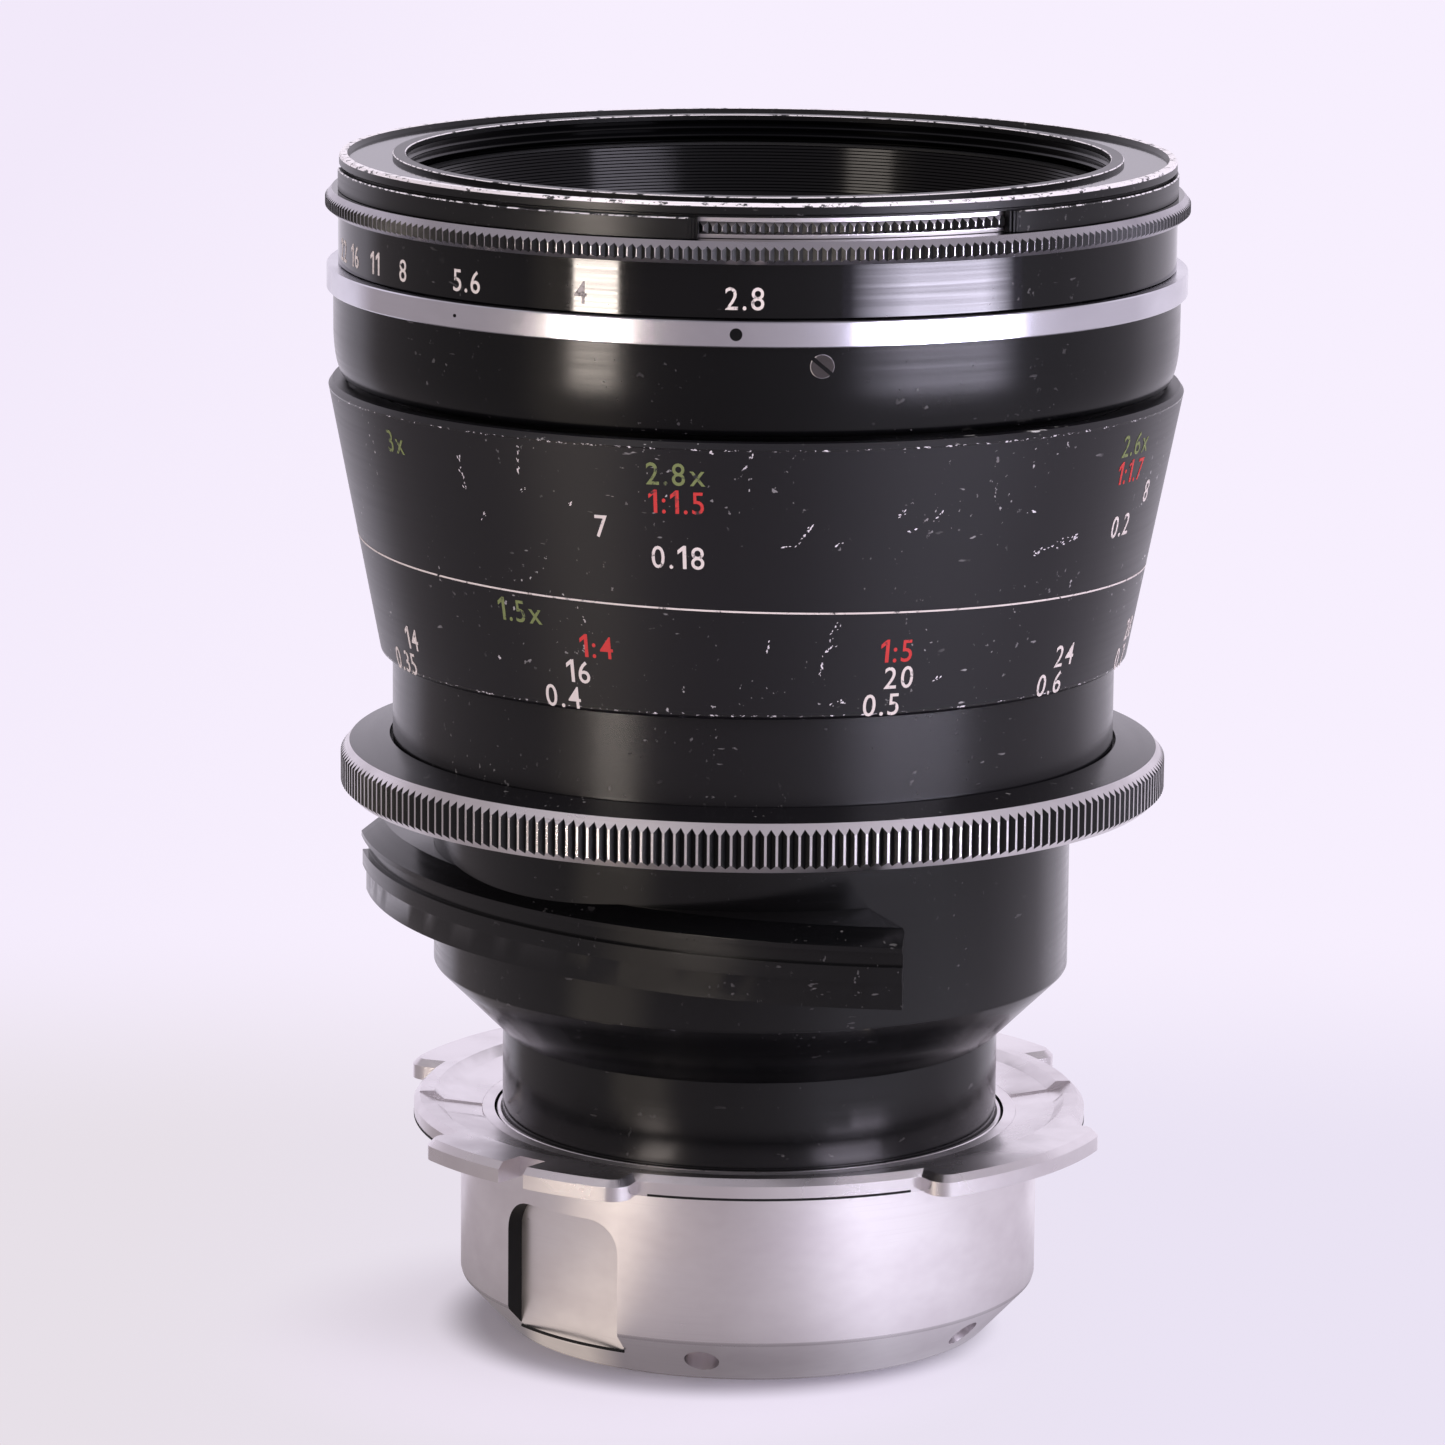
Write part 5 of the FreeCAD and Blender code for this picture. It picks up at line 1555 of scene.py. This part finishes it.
@dataclass
class FrontCap:
    """Preset ring, and the windowed front cap with its filter thread."""

    bore: float = 31.47
    hub: float = 34.5
    low: float = 99.45
    preset_bore: float = 34.56
    preset_radius: float = 37.35
    preset_low: float = 106.35
    preset_high: float = 108.15
    preset_depth: float = 0.26
    under_rim: float = 37.7
    skirt_bore: float = 37.4
    skirt_low: float = 106.35
    skirt_high: float = 108.2
    skirt: float = 38.35
    window_bearings: tuple[float, ...] = (13.3, 133.3, 253.3)
    window_half: float = 21.4
    window_corner: float = 1.2
    window_rounding: tuple[float, ...] = (0.3, 0.12, 0.03)
    rim: float = 38.19
    rim_low: float = 108.45
    high: float = 109.45
    plate: float = 109.05
    lip: float = 33.32
    thread: float = 32.12
    thread_pitch: float = 0.75
    thread_depth: float = 0.35
    thread_end: float = 106.6
    relief_high: float = 107.05
    relief: float = 0.45
    relief_low: float = 104.05

    def build_preset(self) -> None:
        """Knurled ring that shows in the windows."""
        depth = self.preset_depth
        band = self.preset_radius - depth
        inside = [(band, self.preset_high), (self.preset_bore, self.preset_high),
                  (self.preset_bore, self.preset_low), (band, self.preset_low)]
        ring = KnurledRing(self.preset_radius, self.preset_low + 0.32, self.preset_high - 0.38, low_bevel=0.3,
                           high_bevel=0.4, bevel_width=depth, depth=depth - 0.01, count=288, inside=inside,
                           land=0.1)
        made = ring.build("preset_ring_knurled", KNURL_METAL, KNURL_METAL, GROOVE_BLACK)
        hand_over(made, "preset_ring", "black_satin", "preset_ring")

    def add_skirt(self, shell: Shell) -> None:
        """Add the three walls between the windows, with their corners rounded off.

        Args:
            shell: the cap's faces so far.
        """
        edge, corner = 0.1, self.window_corner
        gap = 360 / len(self.window_bearings) - 2 * self.window_half
        wall = [(self.skirt_bore, self.skirt_low), (self.skirt, self.skirt_low),
                (self.skirt, self.skirt_high - edge), (self.skirt - edge, self.skirt_high),
                (self.skirt_bore, self.skirt_high)]
        width = corner / len(self.window_rounding)
        for bearing in self.window_bearings:
            start = bearing + self.window_half
            shell.turn(wall, [0, 0, 1, 0, 0], 288, start + corner, start + gap - corner)
            for step, drop in enumerate(self.window_rounding):
                low, high = width * step, width * (step + 1)
                curved = [(min(radius, self.skirt - drop), height) for radius, height in wall]
                shell.turn(curved, [0], 288, start + low, start + high)
                shell.turn(curved, [0], 288, start + gap - high, start + gap - low)

    def build_cap(self) -> None:
        """Cap with its rubbed rim, raised lip and three windows."""
        edge, foot = 0.08, 0.1
        outline = [
            (self.bore, self.low), (self.hub, self.low), (self.hub, self.skirt_high),
            (self.under_rim, self.skirt_high), (self.under_rim, self.rim_low),
            (self.rim - foot, self.rim_low), (self.rim, self.rim_low + foot), (self.rim, self.high - 0.26),
            (self.rim - 0.16, self.high), (self.rim - 0.75, self.high), (self.rim - 1.0, self.plate),
            (self.lip, self.plate),
            (self.lip, self.high - edge), (self.lip - edge, self.high), (self.thread + edge, self.high),
            (self.thread, self.high - edge),
        ]
        kinds = [0, 0, 0, 0, 0, 0, 0, 2, 2, 0, 3, 0, 2, 0, 2, 0]
        crest = self.high - 0.5
        while crest - self.thread_pitch > self.thread_end:
            outline += [(self.thread, crest), (self.thread, crest - self.thread_pitch * 0.1),
                        (self.thread + self.thread_depth, crest - self.thread_pitch * 0.5)]
            kinds += [4, 4, 4]
            crest -= self.thread_pitch
        outline += [(self.thread, self.relief_high), (self.thread + self.relief, self.relief_high),
                    (self.thread + self.relief, self.relief_low), (self.bore, self.relief_low)]
        kinds += [4, 4, 0, 0]
        shell = Shell()
        shell.turn(outline, kinds)
        self.add_skirt(shell)
        made = shell.build("front_cap_turned", [CAP_BLACK, WORN_LINE, RUBBED_BLACK, GLOSS_BLACK, RIB_BLACK])
        hand_over(made, "front_barrel", "black_gloss", "front_cap")

    def build(self) -> None:
        """Build the preset ring and the cap."""
        self.build_preset()
        self.build_cap()


@dataclass
class LightShade:
    """Finely ribbed light shade behind the filter thread."""

    throat: float = 20.9
    throat_mouth: float = 21.0
    stem: float = 25.9
    stem_low: float = 97.0
    wall: float = 31.45
    low: float = 101.25
    collar: float = 32.1
    collar_low: float = 104.05
    mouth: float = 31.25
    high: float = 106.85
    floor: float = 101.95
    floor_edge: float = 24.8
    cone: float = 30.55
    cone_widening: float = 0.7
    rib_count: int = 15
    rib_depth: float = 0.045

    def build(self) -> None:
        """Build the shade, ribs and all."""
        outline: list[Point] = [
            (self.throat, self.stem_low), (self.stem, self.stem_low), (self.stem, self.low),
            (self.wall, self.low), (self.wall, self.collar_low), (self.collar, self.collar_low),
            (self.collar, self.high), (self.mouth, self.high),
        ]
        kinds = [0] * len(outline)
        tall = self.high - self.floor
        step = tall / (self.rib_count + 1)
        for number in range(1, self.rib_count + 1):
            height = self.high - number * step
            radius = self.cone + self.cone_widening * (height - self.floor) / tall
            outline += [(radius, height + step * 0.35), (radius + self.rib_depth, height)]
            kinds += [1, 1]
        outline += [(self.cone, self.floor), (self.floor_edge, self.floor),
                    (self.throat_mouth, self.stem_low + 0.02)]
        kinds += [0, 0, 0]
        made = turned("front_shade_ribbed", outline, kinds, MATT_BLACK_AND_SHADE, RIB_BLACK, sharp=20.0)
        hand_over(made, "front_barrel", "black_matt", "front_baffle")


@dataclass
class InnerParts:
    """Finishes of the pieces inside the lens, which keep their solids."""

    finishes: dict[str, tuple[str, ...]] = field(default_factory=lambda: {
        "steel": ("grip_screws", "guide_keys", "snap_ring", "click_ball", "click_spring", "iris_link",
                  "iris_pivots"),
        "bronze": ("focus_nut", "front_tube", "travel_stop_ring", "iris_drive_ring"),
        "matt": ("rear_baffle", "iris_housing", "iris_cover", "pair_spacer", "front_retaining_ring",
                 "rear_pair_ring", "rear_retaining_ring"),
        "satin": ("sleeve_bearing", "front_cell", "rear_cell"),
        "blade": tuple(f"iris_blade_{number}" for number in range(1, 7)),
        "glass": ("front_flint", "front_crown", "front_element", "rear_crown", "rear_flint", "rear_element"),
    })

    def build(self) -> None:
        """Give each node its finish."""
        looks = {"steel": SCREW_STEEL, "bronze": BRONZE, "matt": MATT_BLACK_AND_SHADE, "satin": NECK_BLACK,
                 "blade": RIB_BLACK, "glass": LENS_GLASS}
        for kind, nodes in self.finishes.items():
            for node in nodes:
                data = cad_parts[node].data
                for number in range(len(data.materials)):
                    data.materials[number] = looks[kind].material()
                log.info("%s: %s", node, looks[kind].name)


@dataclass(frozen=True)
class FootShade:
    """Share of light left on the paper near the foot of the lens.

    Attributes:
        shift: how far the shade's middle lies to the left, to the front and down, in millimetres.
        near: distance from that middle up to which the share is least.
        far: distance from which it is one.
        least: the least share.
    """

    shift: Triple
    near: float
    far: float
    least: float

    def share(self, tree: Tree, where: Socket) -> Node:
        """Build the share for a place on the floor.

        Args:
            tree: the node tree.
            where: the place.

        Returns:
            Node that gives the share.
        """
        shift = tuple(value * MM for value in self.shift)
        shifted = add(tree, "ShaderNodeVectorMath", {"operation": "ADD"}, {0: where, 1: shift})
        reach = add(tree, "ShaderNodeVectorMath", {"operation": "LENGTH"}, {0: shifted})
        return add(tree, "ShaderNodeMapRange", {"interpolation_type": "SMOOTHSTEP"}, {
            "Value": reach.outputs["Value"], "From Min": self.near * MM, "From Max": self.far * MM,
            "To Min": self.least})


@dataclass(frozen=True)
class Lamp:
    """Area lamp that looks at the lens.

    Attributes:
        name: what the lamp is called.
        bearing: where it stands round the lens.
        distance: its distance from the axis in millimetres.
        height: its height over the floor in millimetres.
        width: its width in metres.
        tall: its other side in metres.
        power: its power in watts.
        colour: sRGB hex colour.
        mirrored: whether reflections show it.
    """

    name: str
    bearing: float
    distance: float
    height: float
    width: float
    tall: float
    power: float
    colour: str
    mirrored: bool = True

    def build(self) -> None:
        """Hang the lamp and point it at the middle of the lens."""
        data = bpy.data.lights.new(self.name, "AREA")
        data.shape = "RECTANGLE"
        data.size = self.width
        data.size_y = self.tall
        data.energy = self.power
        data.color = linear(self.colour)[:3]
        lamp = bpy.data.objects.new(self.name, data)
        lamp.location = place(self.distance, self.bearing, self.height)
        aim = place(0, 0, 60) - lamp.location
        lamp.rotation_euler = aim.to_track_quat("-Z", "Y").to_euler()
        lamp.visible_glossy = self.mirrored
        bpy.context.scene.collection.objects.link(lamp)


@dataclass(frozen=True)
class LitTable:
    """Sector of the table far from the lens that a lamp lights. Only reflections see it.

    Attributes:
        name: what the sector is called.
        start: bearing of one side.
        end: bearing of the other.
        finish: how bright it is.
        near: distance of its near edge in millimetres.
        far: distance of its far edge in millimetres.
        height: height over the floor in millimetres.
    """

    name: str
    start: float
    end: float
    finish: LampGlow
    near: float = 580.0
    far: float = 835.0
    height: float = 1.0

    def build(self) -> None:
        """Lay the sector down."""
        degrees_a_step = 3
        steps = max(2, round((self.end - self.start) / degrees_a_step))
        points = []
        for step in range(steps + 1):
            bearing = self.start + (self.end - self.start) * step / steps
            points += [tuple(place(reach, bearing, self.height)) for reach in (self.near, self.far)]
        faces = [(2 * step, 2 * step + 2, 2 * step + 3, 2 * step + 1) for step in range(steps)]
        mesh = bpy.data.meshes.new(self.name)
        mesh.from_pydata(points, [], faces)
        mesh.materials.append(self.finish.material())
        sheet = bpy.data.objects.new(self.name, mesh)
        sheet.visible_camera = False
        sheet.visible_diffuse = False
        sheet.visible_transmission = False
        sheet.visible_shadow = False
        bpy.context.scene.collection.objects.link(sheet)


@dataclass
class Studio:
    """Pale floor, soft light and the camera at the photograph's angle.

    The ring holds the colour that reflections see at each bearing, with its share of full light.
    """

    focal: float = 166.0
    film_width: float = 36.0
    camera_place: Triple = (-3.53, -605.9, 179.1)
    pitch: float = 11.445
    yaw: float = 0.069
    roll: float = 0.521
    paper_left: str = "#e7e0e8"
    paper_right: str = "#eae3f4"
    paper_far: str = "#f7effe"
    paper_far_left: str = "#f2e9fa"
    paper_lit_share: float = 0.88
    sky_light: str = "#ece7f4"
    sky_high: str = "#bcb6be"
    sky_top: str = "#7c7780"
    ring: tuple[tuple[float, str, float], ...] = (
        (-180, "#f8f0ff", 1.0), (-132, "#f8f0ff", 1.0), (-122, "#b8aeb4", 0.9), (-64, "#b5acb0", 0.9),
        (-56, "#fff0e6", 1.0), (-40, "#fff0e6", 1.0), (-30, "#b8aeb4", 0.9), (-8, "#b0a7ae", 0.95),
        (12, "#c8c0ca", 0.95), (32, "#f6f0ff", 1.0), (66, "#f6f0ff", 1.0), (86, "#e0d8e6", 0.95),
        (118, "#e0d8e6", 0.95), (128, "#f8f0ff", 1.0))
    soft_shadow: FootShade = FootShade((12.0, 12.0, 0.0), 22.0, 40.0, 0.6)
    contact_shadow: FootShade = FootShade((3.0, 3.0, 0.0), 21.5, 27.2, 0.2)
    mirrored_shadow: FootShade = FootShade((0.0, 0.0, 0.0), 24.0, 42.0, 0.55)
    lamps: tuple[Lamp, ...] = (
        Lamp("right lamp", 50.0, 900, 500, 0.5, 0.6, 6.0, "#f2ecff"),
        Lamp("left lamp", -46.0, 900, 600, 0.25, 0.6, 3.0, "#fff4ea"),
        Lamp("top lamp", 20.0, 400, 1000, 0.9, 0.9, 7.0, "#ffffff", mirrored=False))
    tables: tuple[LitTable, ...] = (
        LitTable("warm lit table", -49.5, -37.0,
                 LampGlow("table lit by the warm lamp", "#fff1e6", strength=92.0)),
        LitTable("lilac lit table", 22.0, 74.0,
                 LampGlow("table lit by the cool lamp", "#e9e4fa", strength=58.0,
                          rise=(24.0, 41.0), fall=(62.0, 71.5))))

    def surroundings(self, tree: Tree, where: Socket) -> Socket:
        """Colour that reflections see in each direction round the lens.

        Args:
            tree: the node tree.
            where: place on the floor, or direction in the sky.

        Returns:
            The colour's socket.
        """
        turn = add(tree, "ShaderNodeMapRange", {}, {
            "Value": bearing_of(tree, where), "From Min": -math.pi, "From Max": math.pi})
        ramp = add(tree, "ShaderNodeValToRGB", {}, {"Fac": turn})
        stops = ramp.color_ramp.elements
        while len(stops) > 1:
            stops.remove(stops[-1])
        for number, (bearing, colour, share) in enumerate(self.ring):
            position = (bearing + 180) / 360
            stop = stops[0] if number == 0 else stops.new(position)
            stop.position = position
            red, green, blue, alpha = linear(colour)
            stop.color = (red * share, green * share, blue * share, alpha)
        return ramp.outputs["Color"]

    def seen_directly(self, tree: Tree, path: Node) -> Node:
        """Mask that is one for the camera and for what shows through glass."""
        return add(tree, "ShaderNodeMath", {"operation": "MAXIMUM"}, {
            0: path.outputs["Is Camera Ray"], 1: path.outputs["Is Transmission Ray"]})

    def lit_paper_colour(self, tree: Tree, where: Socket) -> Socket:
        """Colour of the paper with painted light and shade, paler to the right and far behind the lens.

        Args:
            tree: the node tree.
            where: place on the floor.

        Returns:
            The colour's socket.
        """
        parts = add(tree, "ShaderNodeSeparateXYZ", {}, {0: where})
        side = add(tree, "ShaderNodeMapRange", {}, {
            "Value": parts.outputs["X"], "From Min": -60 * MM, "From Max": 40 * MM})
        near = add(tree, "ShaderNodeMix", {"data_type": "RGBA"}, {
            0: side, 6: linear(self.paper_left), 7: linear(self.paper_right)})
        wide = add(tree, "ShaderNodeMapRange", {}, {
            "Value": parts.outputs["X"], "From Min": -160 * MM, "From Max": -40 * MM})
        beyond = add(tree, "ShaderNodeMix", {"data_type": "RGBA"}, {
            0: wide, 6: linear(self.paper_far_left), 7: linear(self.paper_far)})
        far = add(tree, "ShaderNodeMapRange", {"interpolation_type": "SMOOTHSTEP"}, {
            "Value": parts.outputs["Y"], "From Min": 50 * MM, "From Max": 160 * MM})
        return add(tree, "ShaderNodeMix", {"data_type": "RGBA"}, {
            0: far, 6: near.outputs[2], 7: beyond.outputs[2]}).outputs[2]

    def paper_material(self) -> Material:
        """Pale paper. The eye sees it even, with a faint shadow; reflections see the studio.

        Returns:
            The paper's material.
        """
        made = Finish("pale paper", self.paper_right, 0.0, 0.95, 0.0).material()
        tree = made.node_tree
        shader = tree.nodes["Principled BSDF"]
        where = add(tree, "ShaderNodeTexCoord").outputs["Object"]
        # The paper's colour carries painted light and shade: paler to the right and far behind, darker at the
        # front left.
        colour = self.lit_paper_colour(tree, where)
        share = self.paper_lit_share
        dimmed = add(tree, "ShaderNodeMix", {"data_type": "RGBA", "blend_type": "MULTIPLY"}, {
            0: 1.0, 6: colour, 7: (share, share, share, 1.0)})
        tree.links.new(dimmed.outputs[2], shader.inputs["Base Color"])
        path = add(tree, "ShaderNodeLightPath")
        mask = add(tree, "ShaderNodeMath", {"operation": "MULTIPLY"}, {
            0: self.seen_directly(tree, path), 1: self.soft_shadow.share(tree, where)})
        glow = add(tree, "ShaderNodeEmission", {}, {
            "Color": colour, "Strength": self.contact_shadow.share(tree, where)})
        mixed = add(tree, "ShaderNodeMixShader", {}, {0: mask, 1: shader, 2: glow})
        studio = add(tree, "ShaderNodeEmission", {}, {
            "Color": self.surroundings(tree, where),
            "Strength": self.mirrored_shadow.share(tree, where)})
        mirrored = add(tree, "ShaderNodeMixShader", {}, {
            0: path.outputs["Is Glossy Ray"], 1: mixed, 2: studio})
        tree.links.new(mirrored.outputs[0], tree.nodes["Material Output"].inputs["Surface"])
        return made

    def build_floor(self) -> None:
        """Wide pale floor."""
        mesh = bpy.data.meshes.new("floor")
        reach = 8.0
        mesh.from_pydata([(-reach, -reach, 0), (reach, -reach, 0), (reach, reach, 0), (-reach, reach, 0)],
                         [], [(0, 1, 2, 3)])
        mesh.materials.append(self.paper_material())
        floor = bpy.data.objects.new("floor", mesh)
        bpy.context.scene.collection.objects.link(floor)

    def build_world(self) -> None:
        """Sky that is pale behind the lens and darker behind the camera."""
        world = bpy.data.worlds.new("studio")
        bpy.context.scene.world = world
        world.use_nodes = True
        tree = world.node_tree
        tree.nodes.clear()
        where = add(tree, "ShaderNodeTexCoord").outputs["Generated"]
        parts = add(tree, "ShaderNodeSeparateXYZ", {}, {0: where})
        share = add(tree, "ShaderNodeMapRange", {"interpolation_type": "SMOOTHSTEP"}, {
            "Value": parts.outputs["Y"], "From Min": -0.75, "From Max": 0.35,
            "To Min": 0.45, "To Max": 0.85})
        light = add(tree, "ShaderNodeBackground", {}, {
            "Color": linear(self.sky_light), "Strength": share})
        colour = self.surroundings(tree, where)
        for above, start, full in ((self.sky_high, 0.5, 0.75), (self.sky_top, 0.94, 0.99)):
            height = add(tree, "ShaderNodeMapRange", {"interpolation_type": "SMOOTHSTEP"}, {
                "Value": parts.outputs["Z"], "From Min": start, "From Max": full})
            colour = add(tree, "ShaderNodeMix", {"data_type": "RGBA"}, {
                0: height, 6: colour, 7: linear(above)}).outputs[2]
        mirrored = add(tree, "ShaderNodeBackground", {}, {"Color": colour, "Strength": 1.0})
        seen = add(tree, "ShaderNodeBackground", {}, {"Color": linear(self.paper_far), "Strength": 1.0})
        path = add(tree, "ShaderNodeLightPath")
        mixed = add(tree, "ShaderNodeMixShader", {}, {
            0: path.outputs["Is Glossy Ray"], 1: light, 2: mirrored})
        mixed = add(tree, "ShaderNodeMixShader", {}, {
            0: self.seen_directly(tree, path), 1: mixed, 2: seen})
        add(tree, "ShaderNodeOutputWorld", {}, {"Surface": mixed})

    def build_camera(self) -> None:
        """Camera fitted to the photograph."""
        data = bpy.data.cameras.new("camera")
        data.lens = self.focal
        data.sensor_width = self.film_width
        data.clip_start = 0.01
        data.clip_end = 50.0
        pitch, yaw, roll = (math.radians(value) for value in (self.pitch, self.yaw, self.roll))
        ahead = Vector((math.sin(yaw) * math.cos(pitch), math.cos(yaw) * math.cos(pitch),
                        -math.sin(pitch)))
        right = ahead.cross(Vector((0, 0, 1))).normalized()
        up = right.cross(ahead)
        right, up = (math.cos(roll) * right + math.sin(roll) * up,
                     -math.sin(roll) * right + math.cos(roll) * up)
        turn = Matrix((right, up, -ahead)).transposed().to_4x4()
        camera = bpy.data.objects.new("camera", data)
        camera.matrix_world = Matrix.Translation(Vector(self.camera_place) * MM) @ turn
        bpy.context.scene.collection.objects.link(camera)
        bpy.context.scene.camera = camera

    def build(self) -> None:
        """Build the studio."""
        bpy.context.scene.view_settings.view_transform = "Standard"
        self.build_floor()
        self.build_world()
        for light in self.lamps + self.tables:
            light.build()
        self.build_camera()


def main() -> None:
    """Build every sub-assembly in order."""
    logging.basicConfig(level=logging.INFO, format="%(message)s")
    for assembly in (MountEnd(), RearBody(), ClampRing(), HelicoidNeck(), FocusCone(), BandShell(),
                     ApertureRing(), FrontCap(), LightShade(), InnerParts(), Studio()):
        log.info("%s", type(assembly).__name__)
        assembly.build()
    bpy.context.view_layer.update()


if __name__ == "__main__":
    main()
